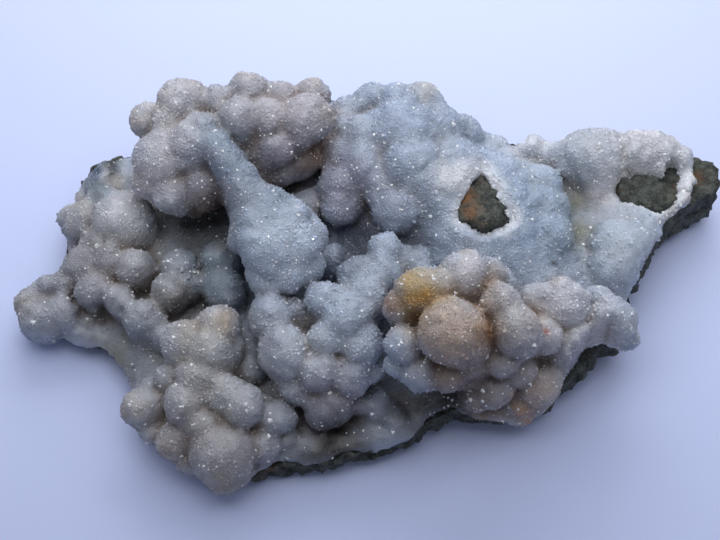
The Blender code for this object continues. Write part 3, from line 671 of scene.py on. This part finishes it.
TAN_RIM = [
    (14.3, -4.2, 29, 2.0, 0.36, 0.27, 0.20), (21.7, -2.5, 28, 2.0, 0.37, 0.29, 0.23),
    (10.0, -9.0, 28, 1.8, 0.36, 0.28, 0.21), (15.0, -16, 25, 2.8, 0.32, 0.24, 0.20),
    (28.5, -8.0, 25, 1.8, 0.38, 0.31, 0.28), (20.3, -6.3, 28, 1.8, 0.37, 0.29, 0.23),
    (17.5, 3.2, 27, 1.8, 0.36, 0.29, 0.23), (33, -1.3, 23, 1.8, 0.42, 0.36, 0.33),
    (-28, 31.7, 25, 2.6, 0.40, 0.35, 0.33), (-18.5, 32.5, 26, 2.4, 0.40, 0.35, 0.33),
    (-8.0, 32, 26, 2.6, 0.41, 0.36, 0.34), (-37.5, 25, 23, 2.6, 0.40, 0.35, 0.33),
    (-37, 15.5, 20, 2.6, 0.38, 0.33, 0.31), (-5.0, 26, 26, 2.4, 0.40, 0.34, 0.31),
    (-38.5, -23, 9, 2.8, 0.38, 0.33, 0.30), (-33, -30.5, 8, 2.8, 0.36, 0.31, 0.28),
    (-23, -35.5, 8, 3.0, 0.34, 0.30, 0.27), (-26.7, -9.5, 16, 2.4, 0.38, 0.33, 0.29),
    (-30, -5.5, 12, 3.0, 0.33, 0.29, 0.25), (-47, 11, 9, 3.0, 0.40, 0.37, 0.35),
    (-56.5, -6, 7, 2.6, 0.36, 0.33, 0.31), (-23, 5.0, 20, 1.6, 0.38, 0.36, 0.36),
    (54.3, 12.8, 13, 2.0, 0.42, 0.36, 0.31), (51.8, 9.8, 13, 1.8, 0.40, 0.34, 0.29),
]
# Pale skin and white quartz round the windows; several rows are painted light, which brightens
# slopes that lie in shade, round the right window and on the far side of the rusty cluster
PALE_SKIN_AND_PAINTED_LIGHT = [
    (14.8, 15.3, 23, 2.8, *WHITE), (41.2, 12.8, 13.5, 3.3, 0.68, 0.65, 0.66),
    (17.8, -0.4, 32, 3.0, 0.56, 0.52, 0.53), (-42.3, 15.2, 10, 1.4, 0.60, 0.57, 0.57),
    (-40.4, 15, 10, 1.9, 0.52, 0.50, 0.47), (40.5, -11.5, 15, 4.0, 0.66, 0.64, 0.66),
    (-44.5, 12.7, 10, 1.5, 0.50, 0.52, 0.55), (52, 19.5, 14, 3, 0.55, 0.53, 0.54),
    (54, 15.5, 13, 2.2, 0.58, 0.56, 0.57), (46, 17, 14, 3.5, 0.66, 0.66, 0.68),
]
# Painted shade: dark colour in the hollows, under the tower and below the lumps, where shade
# falls
PAINTED_HOLLOW_SHADE = [
    (-26.7, 7, 9, 5.5, 0.07, 0.07, 0.07), (-20.6, 10.2, 23, 2.2, 0.12, 0.13, 0.16),
    (0, 5, 13, 4, 0.10, 0.11, 0.14), (8.8, 5, 15, 2.4, 0.12, 0.13, 0.16),
    (-28, -6.7, 8, 3, 0.09, 0.09, 0.10), (-43.5, -8.3, 7, 2.6, 0.12, 0.11, 0.11),
    (-44.4, 16.0, 10, 1.7, 0.07, 0.10, 0.16), (-43.7, 13.4, 10, 1.7, 0.04, 0.07, 0.09),
    (-41.2, 18.2, 10, 1.7, 0.02, 0.025, 0.02), (-37.8, 14.2, 10, 1.5, 0.20, 0.23, 0.28),
    (15, -22, 9, 4, 0.06, 0.055, 0.05), (-1.5, 2.3, 18, 2.4, 0.11, 0.12, 0.15),
    (9.2, 4.2, 19, 1.9, 0.12, 0.13, 0.16), (8.0, -23.0, 8, 4.5, 0.07, 0.065, 0.07),
    (32.2, 1.2, 16, 0.5, 0.03, 0.03, 0.03), (-37.8, -18.3, 9, 0.6, 0.05, 0.05, 0.05),
]
STAINS = (TAUPE_SKIN_AND_PAINTED_LIGHT, CLEAR_BLUE_AND_PAINTED_LIGHT, PAINTED_VIOLET_SHADE, TAN_RIM, RUST_AND_PAINTED_SHADE, PALE_SKIN_AND_PAINTED_LIGHT, PAINTED_HOLLOW_SHADE)
print(sum(len(rows) for rows in STAINS), "stains in", len(STAINS), "lists")

# %% How far a stain reaches
STAIN_DEPTH = 5.0


def stained(points, wander, right, up, height, spread):
    """How much a stain counts at each point, from 0 to 1.

    It is e to the minus the squared distance as seen over the squared spread, less the
    squared distance in depth over the square of a few millimetres more. The wander shifts
    each point a little, so that no stain has a round edge.
    """
    own_right, own_up, own_depth = in_view(points)
    depth = (seen_at(right, up, height)[0] - AIM) @ TOWARD_EYE
    away = (own_right + wander[:, 0] - right) ** 2 + (own_up + wander[:, 1] - up) ** 2
    return np.exp(-away / spread**2 - ((own_depth - depth) / (spread + STAIN_DEPTH)) ** 2)


# %% [markdown]
# Shade is also painted into every crease, darker and warmer, and light onto every bulge, a
# little paler. Where those are needs no list: the same grid tells. Blurred by averages over a
# few cells, it holds the share of stone round each point, which is more than a half in a crease
# and less on a bulge. The pointiness that Blender's Geometry node gives is much the same, but
# it is measured from one point of the mesh to the next, too near by for lumps of this size.

# %% Painted shade in creases and painted light on bulges
BLUR = 3
# Painted shade that a full crease takes from red, green and blue, and painted light that a full
# bulge adds to them
CREASE_PAINTED_SHADE = (0.27, 0.37, 0.46)
BULGE_PAINTED_LIGHT = (0.16, 0.18, 0.21)
# How far from a half the share of stone is where a crease or a bulge counts in full
FULL_CURVE = 0.22
HALO = 2.0
HALO_SHARE = 0.9
# How far stains wander, over what length, and the spread past which it grows no more
WANDER = 0.5
WANDER_LENGTH = 5.0
WIDEST_WANDER = 3
filled = (crust < 0).astype(np.float32)
for axis in (0, 1, 2) * 2:
    filled = sum(np.roll(filled, shift, axis) for shift in range(-BLUR, BLUR + 1))
    filled /= 2 * BLUR + 1


def fullness(points):
    """The share of stone within a few millimetres of each point, a half on a level face.

    It is the blurred grid at the eight corners of the point's cell, each corner weighed by
    how near the point is to it along all three axes.
    """
    place = (points - low_corner) / STEP
    whole = np.floor(place).astype(int)
    part = place - whole
    share = np.zeros(len(points))
    for corner in CORNERS:
        weight = np.where(corner, part, 1 - part).prod(axis=1)
        share += weight * filled[tuple((whole + corner).T)]
    return share


def stains_and_painted_light(points):
    """Colour of the crust at each point: stains and painted light and shade, laid over blue-grey
    one after another.

    White lies round the windows, by e to the minus the squared distance over the squared
    halo. Then creases get painted shade, darker and warmer, and bulges painted light, paler,
    as far as the share of stone there is from a half.
    """
    colour = np.tile(np.array(BLUE_GREY), (len(points), 1))
    wander = np.stack([ripples(points, WANDER_LENGTH, seed=30),
                       ripples(points, WANDER_LENGTH, seed=31)], axis=1) * WANDER
    for rows in STAINS:
        for right, up, height, spread, *tone in rows:
            shift = wander * min(spread, WIDEST_WANDER) / 2
            weight = stained(points, shift, right, up, height, spread)
            colour += (np.array(tone) - colour) * weight[:, None]
    for plan in window_plans:
        away = outside_polygon(points[:, 0], points[:, 1], plan) + wander[:, 0]
        weight = np.exp(-(np.maximum(away, 0) / HALO) ** 2)[:, None]
        colour += (np.array(WHITE) - colour) * weight * HALO_SHARE
    # Painted shade in the creases, painted light on the bulges
    curve = (fullness(points)[:, None] - 0.5) / FULL_CURVE
    crease, bulge = np.clip(curve, 0, 1), np.clip(-curve, 0, 1)
    return colour * (1 - crease * np.array(CREASE_PAINTED_SHADE)) * (1 + bulge * np.array(BULGE_PAINTED_LIGHT))


def paint(made, colour, name="stone"):
    """Keeps a colour for every point of a piece as an attribute that materials read."""
    layer = made.data.color_attributes.new(name, "FLOAT_COLOR", "POINT")
    layer.data.foreach_set("color", np.insert(colour, 3, 1.0, axis=1).astype(np.float32).ravel())


crust_colour = stains_and_painted_light(crust_points)
# The stone attribute holds the stains together with the painted light and shade
paint(crust_piece, crust_colour)
print("mean colour of the crust", crust_colour.mean(axis=0).round(2))

# %% [markdown]
# ## Sugar it with quartz
# The sparkle comes from a druse, a skin of quartz crystals less than half a millimetre
# across. A bump map would look grainy from the front but leave the outline smooth, and the
# outline is where a druse shows best. So each crystal is real. They stand nearly square to
# the surface, and differ in size, lean and turn. Their spots are drawn at random and
# thinned, so that no two share a cell of a fine grid.

# %% Where the crystals stand
SPOT_CELL = 0.34
DRAWN = 520000
chance = np.random.default_rng(7)
quads = crust_points[crust_faces]
areas = np.linalg.norm(np.cross(quads[:, 2] - quads[:, 0], quads[:, 3] - quads[:, 1]), axis=1)
chosen = chance.choice(len(quads), DRAWN, p=areas / areas.sum())
u, v = chance.random((2, DRAWN, 1))
weights = np.stack([(1 - u) * (1 - v), u * (1 - v), u * v, (1 - u) * v], axis=1)
spots = (quads[chosen] * weights).sum(axis=1)
spot_facing = (crust_facing[crust_faces[chosen]] * weights).sum(axis=1)
spot_facing /= np.linalg.norm(spot_facing, axis=1)[:, None]
first = np.unique(np.floor(spots / SPOT_CELL).astype(np.int64), axis=0, return_index=True)[1]
first = chance.permutation(first)
spots, spot_facing = spots[first], spot_facing[first]
print(len(spots), "spots are far enough apart")

# %% [markdown]
# Some places stay bare: what is hidden in the slab, the broken rim, and smooth patches
# where the crystals were rubbed off or never grew.

# %% Bare places
# Right, up, height, spread
BARE = [
    (44, 2, 13, 6), (-43, -13, 5, 7), (-5, -29, 6, 8), (-44, 15.5, 8, 3.5), (8, -26, 7, 4),
    (-22.5, 0.8, 12, 4), (-40, -9, 6, 4), (37, 9, 13, 3.5),
]
BARE_SHARE = 0.85
# How far out of the slab, and how high above the table, a crystal has to stand
CLEAR_OF_SLAB = 0.1
LOWEST = 0.8
spot_height, spot_share = slab_face(spots[:, 0], spots[:, 1])
inside_slab = np.minimum(spot_height - spots[:, 2],
                         (1 - spot_share) * around(spots[:, 0], spots[:, 1], edge_radii))
bare = np.zeros(len(spots))
for right, up, height, spread in BARE:
    away = ((spots - seen_at(right, up, height)[0]) ** 2).sum(axis=1)
    bare = np.maximum(bare, BARE_SHARE * np.exp(-away / spread**2))
kept = (inside_slab < -CLEAR_OF_SLAB) & (chance.random(len(spots)) > bare)
kept &= spots[:, 2] > LOWEST
spots, spot_facing = spots[kept], spot_facing[kept]
print(len(spots), "crystals will grow")

# %% [markdown]
# All crystals are worked out at once, in two kinds. Most are so small that only the three
# large faces of the quartz tip count: a pyramid with three sides, shut by its base. One in
# twelve is taller and clearer, two six-sided pyramids base to base, and it is these that
# flash in the lamps. A share of both kinds is painted white, as glints that show whatever the
# light.

# %% The crystals
LEAN = 0.38
THREE = (np.arange(3), np.array([(0, 1, 3), (1, 2, 3), (2, 0, 3), (2, 1, 0)]))
SIX = (np.arange(6), np.array([(i, (i + 1) % 6, 6) for i in range(6)] +
                              [((i + 1) % 6, i, 7) for i in range(6)]))


def crystals(places, ways, kind, radius, tallest, foot=None):
    """Points and triangles of pyramids that stand at the places, in the given directions.

    Corner i of n is at 360 i / n degrees round the axis, one radius out, give or take a
    tenth. The tip is up to so many radii up the axis, half of that at the least. A
    foot, if any, is so many radii down.
    """
    turns, faces = kind
    count = len(places)
    axis = ways + LEAN * chance.normal(size=(count, 3))
    axis /= np.linalg.norm(axis, axis=1)[:, None]
    across = np.cross(axis, chance.normal(size=(count, 3)))
    across /= np.linalg.norm(across, axis=1)[:, None]
    along = np.cross(axis, across)
    out = radius[:, None] * chance.uniform(0.9, 1.1, (count, len(turns)))
    angles = turns * 2 * np.pi / len(turns)
    corners = (places[:, None] + out[..., None] * (
        np.cos(angles)[None, :, None] * across[:, None]
        + np.sin(angles)[None, :, None] * along[:, None]))
    tip = places + axis * (radius * tallest * chance.uniform(0.5, 1.0, count))[:, None]
    ends = [tip[:, None]]
    if foot:
        ends.append((places - axis * (radius * foot)[:, None])[:, None])
    points = np.concatenate([corners, *ends], axis=1)
    faces = faces[None] + points.shape[1] * np.arange(count)[:, None, None]
    return points.reshape(-1, 3), faces.reshape(-1, 3), points.shape[1]


# %% [markdown]
# Tips this small let light through from one to the next, so none has a fully dark side. The
# small ones are shaded for that as if they were less steep: their normals are turned part
# of the way to the facing of the stone under them. The large ones keep their flat faces.

# %% Small tips in four bands, and the large crystals
FLASHING = 0.08
SOFTNESS = 0.45
SUNK_FOOT = 0.05
TONES = (0.92, 1.1)
# The radius and the spread of radii, then the tip and the foot in radii, then how the piece is
# shaded, how much brighter than the stone it is, as clearer quartz and as painted light that
# keeps shaded faces from going dark, and the share of crystals painted white as glints
SMALL_TIPS = dict(kind=THREE, typical=0.24, spread=0.3, tallest=1.1, foot=None, smooth=True,
                  clear_and_painted_light=1.1, painted_glint_share=0.012)
LARGE_POINTS = dict(kind=SIX, typical=0.18, spread=0.38, tallest=1.4, foot=0.8, smooth=False,
                    clear_and_painted_light=1.45, painted_glint_share=0.2)


def soften(made, ways, each):
    """Turns a piece's shading part of the way to that of the stone under each crystal.

    A point's new normal is a mix of its own and of its crystal's way, drawn to length one.
    """
    blend = SOFTNESS * np.repeat(ways, each, axis=0) + (1 - SOFTNESS) * facing(made)
    blend /= np.linalg.norm(blend, axis=1)[:, None]
    made.data.normals_split_custom_set_from_vertices(blend)


def grow(name, chosen_spots, kind, typical, spread, tallest, foot, smooth, clear_and_painted_light, painted_glint_share):
    """Makes one piece of druse, coloured by the stone under it, lifted by painted light, and
    with some crystals painted white as glints.

    A radius is the typical one times e to the spread times a chance of the bell curve.
    """
    places, ways = spots[chosen_spots], spot_facing[chosen_spots]
    radius = typical * np.exp(spread * chance.normal(size=len(places)))
    points, faces, each = crystals(places - SUNK_FOOT * ways, ways, kind, radius, tallest, foot)
    made = piece_from(name, points, faces, smooth)
    if smooth:
        soften(made, ways, each)
    tone = stains_and_painted_light(places)
    # Brighter than the stone: partly clearer quartz, partly painted light that lifts the faces
    # in shade
    tone *= clear_and_painted_light
    tone *= chance.uniform(*TONES, (len(places), 1))
    # Painted glints: a share of the crystals is turned white
    tone += (1 - tone) * (chance.random((len(places), 1)) < painted_glint_share)
    paint(made, np.repeat(np.clip(tone, 0, 1), each, axis=0))
    print(name, len(faces), "triangles")
    return made


flashing = chance.random(len(spots)) < FLASHING
small = np.flatnonzero(~flashing)
small = small[np.argsort(spots[small, 0])]
druse = [grow(f"sugar_{where}", band, **SMALL_TIPS)
         for where, band in zip(("left", "tower", "middle", "right"), np.array_split(small, 4))]
flashes = grow("quartz_points", np.flatnonzero(flashing), **LARGE_POINTS)

# %% [markdown]
# ## Roughen the basalt
# Basalt breaks into small flat facets with sharp edges between them. The slab's solid is
# copied, given an even fine mesh by a voxel remesh, and each point is moved along its facing
# to the plane of the nearest of some thousands of random seeds. Ripples then add the grain.
# The rock in the windows is raised a little, to meet the thin lip of the crust, and the face
# that the specimen rests on stays flat.

# %% The slab's fine mesh
VOXEL = 0.75
slab_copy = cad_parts["basalt_matrix"].copy()
slab_copy.data = slab_copy.data.copy()
bpy.context.scene.collection.objects.link(slab_copy)
weld = slab_copy.modifiers.new("weld", "WELD")
weld.merge_threshold = 0.01 * MM
remesh = slab_copy.modifiers.new("remesh", "REMESH")
remesh.mode = "VOXEL"
remesh.voxel_size = VOXEL * MM
fine = slab_copy.evaluated_get(bpy.context.evaluated_depsgraph_get()).to_mesh()
basalt_points = np.empty(3 * len(fine.vertices), np.float32)
fine.vertices.foreach_get("co", basalt_points)
basalt_points = basalt_points.reshape(-1, 3) / MM - TO_MIDDLE
basalt_faces = np.empty(4 * len(fine.polygons), np.int32)
fine.polygons.foreach_get("vertices", basalt_faces)
basalt_faces = basalt_faces.reshape(-1, 4)
bpy.data.objects.remove(slab_copy)
print(2 * len(basalt_faces), "triangles in the basalt")

# %% Facets and grain
FACETS = 2600
FACET_TILT = 0.40
DEEPEST = 0.7
# How much less the rock stands out than in, and how far it is drawn in as a whole
PROUD_SHARE = 0.4
DRAWN_IN = 0.1
GRAIN = 0.10
GRAIN_LENGTH = 1.3
# How far the rock is raised in a window, how far round it, and how level it has to face
WINDOW_LIFT = 0.4
LIFT_REACH = 0.6
FACES_UP = 0.5
RESTING = 0.2
BATCHES = 60
basalt_piece = piece_from("basalt_slab", basalt_points, basalt_faces, True)
basalt_facing = facing(basalt_piece)
facet_chance = np.random.default_rng(11)
seeds = basalt_points[facet_chance.choice(len(basalt_points), FACETS, replace=False)]
tilts = facet_chance.normal(size=(FACETS, 3)) * FACET_TILT
nearest = np.concatenate([
    ((part[:, None] - seeds[None]) ** 2).sum(axis=2).argmin(axis=1)
    for part in np.array_split(basalt_points.astype(np.float32), BATCHES)])
depth = ((basalt_points - seeds[nearest]) * tilts[nearest]).sum(axis=1)
depth = np.clip(depth, -DEEPEST, DEEPEST * PROUD_SHARE) - DRAWN_IN
depth += GRAIN * ripples(basalt_points, GRAIN_LENGTH, seed=40)
for plan in window_plans:
    within = outside_polygon(basalt_points[:, 0], basalt_points[:, 1], plan) < LIFT_REACH
    depth[within & (basalt_facing[:, 2] > FACES_UP)] += WINDOW_LIFT
depth[basalt_points[:, 2] < RESTING] = 0
roughened = basalt_points + basalt_facing * depth[:, None]
roughened[:, 2] = np.maximum(roughened[:, 2], 0)
basalt_piece.data.vertices.foreach_set(
    "co", ((roughened + TO_MIDDLE) * MM).astype(np.float32).ravel())
basalt_piece.data.update()
print("facet depths in mm", depth.min().round(2), "to", depth.max().round(2))

# %% [markdown]
# Rust gathers round the windows and along the rim where water crept under the crust, so the
# slab has an attribute too: how rusty each point is.

# %% Rust on the slab
# Right, up, height, spread and how rusty
RUST_SPOTS = [
    (17.5, 12.5, 22, 2.2, 1.0), (20.3, 15.3, 22, 1.0, 0.7), (18.6, 10.0, 22, 1.8, 0.9),
    (20.5, 7.6, 22, 1.2, 0.5), (42.7, 13.0, 14, 1.2, 0.6), (52.0, 12.3, 12.4, 1.6, 0.8),
    (56, 16, 12, 1.8, 0.8), (53.2, 14.5, 12.4, 1.4, 0.9), (52.0, 17.5, 12.4, 1.0, 0.5),
    (27, -24, 6, 3.5, 0.5), (-15, -33, 5, 2.5, 0.5),
]
RUSTY_FROM = 0.3
rust_amount = np.zeros(len(basalt_points))
for right, up, height, spread, amount in RUST_SPOTS:
    away = ((basalt_points - seen_at(right, up, height)[0]) ** 2).sum(axis=1)
    rust_amount = np.maximum(rust_amount, amount * np.exp(-away / spread**2))
paint(basalt_piece, np.repeat(rust_amount[:, None], 3, axis=1), "rust")
print("share of the slab that is rusty", round(float((rust_amount > RUSTY_FROM).mean()), 3))

# %% [markdown]
# ## Finish the chalcedony
# Chalcedony is milky: light enters, scatters a millimetre or two and comes out again, more
# of the blue than of the red near the surface. A Principled shader with subsurface
# scattering does that. Fine noise in object coordinates breaks the colour up, as the
# banded fibres under the skin do, and a fine bump stands for the crystals too small to model.
# Chalcedony and druse are both quartz, so one recipe serves both, more or less milky.


# %% Node helpers
def new_finish(name):
    """A material with its shader, and its node tree."""
    made = bpy.data.materials.new(name)
    made.use_nodes = True
    return made, made.node_tree, made.node_tree.nodes["Principled BSDF"]


def add_node(tree, kind, settings=(), **inputs):
    """A node with its settings and input values.

    An input's key is its name, or the letter i and its number where names repeat. A value may
    be another node's output, which is then linked.
    """
    node = tree.nodes.new(kind)
    for key, value in dict(settings).items():
        setattr(node, key, value)
    for key, value in inputs.items():
        socket = node.inputs[int(key[1:]) if key[0] == "i" and key[1:].isdigit() else key]
        if isinstance(value, bpy.types.NodeSocket):
            tree.links.new(value, socket)
        else:
            socket.default_value = value
    return node


def grain(tree, size_mm, detail=2.0, rough=0.6):
    """Noise in object coordinates whose blotches are about so many millimetres wide."""
    place = add_node(tree, "ShaderNodeTexCoord")
    return add_node(tree, "ShaderNodeTexNoise", Vector=place.outputs["Object"],
                    Scale=1 / (size_mm * MM), Detail=detail, Roughness=rough)


def spread_between(tree, value, low, high, start=0.3, end=0.7):
    """Carries a value's range from start to end onto low to high."""
    ranged = add_node(tree, "ShaderNodeMapRange", i0=value, i1=start, i2=end, i3=low, i4=high)
    return ranged.outputs[0]


def tinted(tree, colour, shade):
    """A colour times a shade that varies."""
    mixed = add_node(tree, "ShaderNodeMix", {"data_type": "RGBA", "blend_type": "MULTIPLY"},
                     i0=1.0, i6=colour, i7=shade)
    return mixed.outputs[2]


# %% The stone
GRAIN_SIZE = 0.42
GRAIN_DEPTH = 0.12
MOTTLE_SIZE = 1.6
MOTTLE = (0.85, 1.1)
# How far red, green and blue light run under the skin, in mm
SCATTER = (1.2, 1.0, 0.85)
QUARTZ_IOR = 1.54


def quartz_finish(name, roughness, bump_strength, milk):
    """Quartz in its stone colour, a little mottled. Milk is how much light runs inside."""
    made, tree, shader = new_finish(name)
    stone = add_node(tree, "ShaderNodeVertexColor", {"layer_name": "stone"})
    mottle = spread_between(tree, grain(tree, MOTTLE_SIZE, detail=4.0).outputs["Fac"], *MOTTLE)
    tree.links.new(tinted(tree, stone.outputs["Color"], mottle), shader.inputs["Base Color"])
    shader.inputs["Roughness"].default_value = roughness
    shader.inputs["Subsurface Weight"].default_value = milk
    shader.inputs["Subsurface Radius"].default_value = SCATTER
    shader.inputs["Subsurface Scale"].default_value = MM
    shader.inputs["IOR"].default_value = QUARTZ_IOR
    place = add_node(tree, "ShaderNodeTexCoord")
    cells = add_node(tree, "ShaderNodeTexVoronoi", Vector=place.outputs["Object"],
                     Scale=1 / (GRAIN_SIZE * MM))
    bump = add_node(tree, "ShaderNodeBump", {"invert": True}, Strength=bump_strength,
                    Distance=GRAIN_DEPTH * MM, Height=cells.outputs["Distance"])
    tree.links.new(bump.outputs["Normal"], shader.inputs["Normal"])
    return made


milk_stone = quartz_finish("chalcedony_milk", roughness=0.4, bump_strength=0.35, milk=0.8)
crust_piece.data.materials.append(milk_stone)
print("the crust is finished with", milk_stone.name)

# %% [markdown]
# The druse takes the colour of the stone under it and isn't milky. The small tips look a
# little frosted, so their shine is soft. The larger ones are smooth: their flat faces throw
# back the lamps, and part of the light goes through, bent by the refractive index of quartz.

# %% The crystals' finish
CLEARNESS = 0.15
sugar = quartz_finish("druse_sugar", roughness=0.25, bump_strength=0.0, milk=0.0)
quartz = quartz_finish("clear_quartz", roughness=0.07, bump_strength=0.0, milk=0.0)
quartz_shader = quartz.node_tree.nodes["Principled BSDF"]
quartz_shader.inputs["Transmission Weight"].default_value = CLEARNESS
for made in druse:
    made.data.materials.append(sugar)
flashes.data.materials.append(quartz)
print("the druse is finished with", sugar.name, "and", quartz.name)

# %% [markdown]
# ## Finish the basalt
# Fresh basalt is nearly black, with a green cast from its pyroxene and olivine, and peppered
# with pale grains. Where iron rusts, it turns orange-brown. Clouds of noise mix the two
# tones of the rock, finer noise gives the grains, and the rust attribute, broken up by a
# third noise, says where the brown goes.

# %% The rock
ROCK_DARK = (0.012, 0.014, 0.013, 1)
ROCK_PALE = (0.085, 0.095, 0.078, 1)
PALE_GRAIN = (0.15, 0.16, 0.15, 1)
RUST_BROWN = (0.26, 0.11, 0.035, 1)
ROCK_ROUGHNESS = 0.78
PIT_DEPTH = 0.25
basalt, tree, shader = new_finish("broken_basalt")
rust = add_node(tree, "ShaderNodeVertexColor", {"layer_name": "rust"})
cloud_noise = grain(tree, 1.5, detail=6.0, rough=0.75).outputs["Fac"]
cloud = spread_between(tree, cloud_noise, 0.0, 1.0, start=0.4, end=0.62)
rock = add_node(tree, "ShaderNodeMix", {"data_type": "RGBA"}, i0=cloud,
                i6=ROCK_DARK, i7=ROCK_PALE)
pepper_noise = grain(tree, 0.3, detail=1.0).outputs["Fac"]
pepper = spread_between(tree, pepper_noise, 0.0, 0.7, start=0.60, end=0.72)
peppered = add_node(tree, "ShaderNodeMix", {"data_type": "RGBA"}, i0=pepper,
                    i6=rock.outputs[2], i7=PALE_GRAIN)
patchy = spread_between(tree, grain(tree, 0.9, detail=3.0).outputs["Fac"], -0.5, 0.5)
rusty = add_node(tree, "ShaderNodeMath", {"operation": "MULTIPLY_ADD", "use_clamp": True},
                 i0=rust.outputs["Color"], i1=1.0, i2=patchy)
rust_only = add_node(tree, "ShaderNodeMath", {"operation": "MULTIPLY", "use_clamp": True},
                     i0=rusty.outputs[0], i1=rust.outputs["Color"])
browned = add_node(tree, "ShaderNodeMix", {"data_type": "RGBA"}, i0=rust_only.outputs[0],
                   i6=peppered.outputs[2], i7=RUST_BROWN)
tree.links.new(browned.outputs[2], shader.inputs["Base Color"])
shader.inputs["Roughness"].default_value = ROCK_ROUGHNESS
pits = add_node(tree, "ShaderNodeBump", Strength=0.8, Distance=PIT_DEPTH * MM,
                Height=grain(tree, 0.5, detail=4.0, rough=0.7).outputs["Fac"])
tree.links.new(pits.outputs["Normal"], shader.inputs["Normal"])
basalt_piece.data.materials.append(basalt)
print("the slab is finished with", basalt.name, "of", len(tree.nodes), "nodes")

# %% [markdown]
# ## Tie the pieces to the frame
# Nothing on a stone moves, so every piece rides on the one body. The fine crust and the fine
# slab stand for the plain solids, which stay in the frame for collision only.

# %% Pieces and solids
for made in (crust_piece, *druse, flashes):
    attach(made, "root")
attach(basalt_piece, "root")
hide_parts("chalcedony_crust")
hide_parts("basalt_matrix")
shown = (crust_piece, basalt_piece, *druse, flashes)
print("triangles in all", sum(len(p.data.polygons) * (len(p.data.polygons[0].vertices) - 2)
                              for p in shown))

# %% [markdown]
# ## Light it
# The specimen lies on a plain pale sheet, lit from behind and above by a wide soft source,
# as by a window, so the near side falls into shade. A row of small lamps round the back
# gives the druse its points of light, because a flat crystal face shows only what it
# mirrors. The sky adds a cool fill.

# %% The floor
FLOOR_HALF = 0.9
PAPER = (0.60, 0.66, 0.93, 1)
floor_mesh = bpy.data.meshes.new("floor")
floor_mesh.from_pydata([(-FLOOR_HALF, -FLOOR_HALF, 0), (FLOOR_HALF, -FLOOR_HALF, 0),
                        (FLOOR_HALF, FLOOR_HALF, 0), (-FLOOR_HALF, FLOOR_HALF, 0)],
                       [], [(0, 1, 2, 3)])
floor = bpy.data.objects.new("floor", floor_mesh)
bpy.context.scene.collection.objects.link(floor)
paper, tree, shader = new_finish("pale_paper")
shader.inputs["Base Color"].default_value = PAPER
shader.inputs["Roughness"].default_value = 0.9
floor_mesh.materials.append(paper)
print("floor of", 2 * FLOOR_HALF, "m")


# %% The lamps and the sky
DAYLIGHT = (0.94, 0.96, 1.0)
SKY_COLOUR = (0.78, 0.85, 1.0, 1)
SKY_STRENGTH = 0.24
GLINTS = 8
GLINT_SIZE = 14
GLINT_WATTS = 0.02


def lamp(name, place_mm, size_mm, watts, colour, aim_mm=(0, 10, 0)):
    """A square soft lamp that faces the specimen, or another spot."""
    data = bpy.data.lights.new(name, "AREA")
    data.size = size_mm * MM
    data.energy = watts
    data.color = colour
    made = bpy.data.objects.new(name, data)
    made.location = Vector(place_mm) * MM
    toward = Vector(aim_mm) * MM - made.location
    made.rotation_euler = toward.to_track_quat("-Z", "Y").to_euler()
    made.visible_camera = False
    bpy.context.scene.collection.objects.link(made)
    return made


lamp("window", (0, 250, 200), 250, 0.50, DAYLIGHT)
lamp("side_window", (220, 160, 220), 250, 0.07, DAYLIGHT)
above = lamp("skylight", (0, 60, 260), 260, 0.17, DAYLIGHT, aim_mm=(0, 110, 0))
above.data.spread = math.radians(90)
for number, turn in enumerate(np.linspace(-1.5, 1.5, GLINTS)):
    across, back = 240 * math.sin(turn), 40 + 200 * math.cos(turn)
    height = 300 - 25 * (number % 3)
    lamp(f"glint_{number}", (across, back, height), GLINT_SIZE, GLINT_WATTS, (1, 1, 1))
world = bpy.data.worlds.new("sky")
world.use_nodes = True
world.node_tree.nodes["Background"].inputs["Color"].default_value = SKY_COLOUR
world.node_tree.nodes["Background"].inputs["Strength"].default_value = SKY_STRENGTH
bpy.context.scene.world = world
bpy.context.scene.view_settings.view_transform = "Standard"
print("lamps", [light.name for light in bpy.data.lights])

# %% [markdown]
# ## Look from where the lists were made
# The camera stands where the sight lines of the lists meet, so that every lump shows where
# its row says.

# %% The camera
LENS = 70
SENSOR = 36
camera_data = bpy.data.cameras.new("camera")
camera_data.lens = LENS
camera_data.sensor_width = SENSOR
camera_data.clip_start = 0.01
camera = bpy.data.objects.new("camera", camera_data)
camera.location = (EYE + TO_MIDDLE) * MM
camera.rotation_euler = Vector(AIM - EYE).to_track_quat("-Z", "Y").to_euler()
bpy.context.scene.collection.objects.link(camera)
bpy.context.scene.camera = camera
print("the camera stands", LOOK_FROM, "mm from the middle of its view")
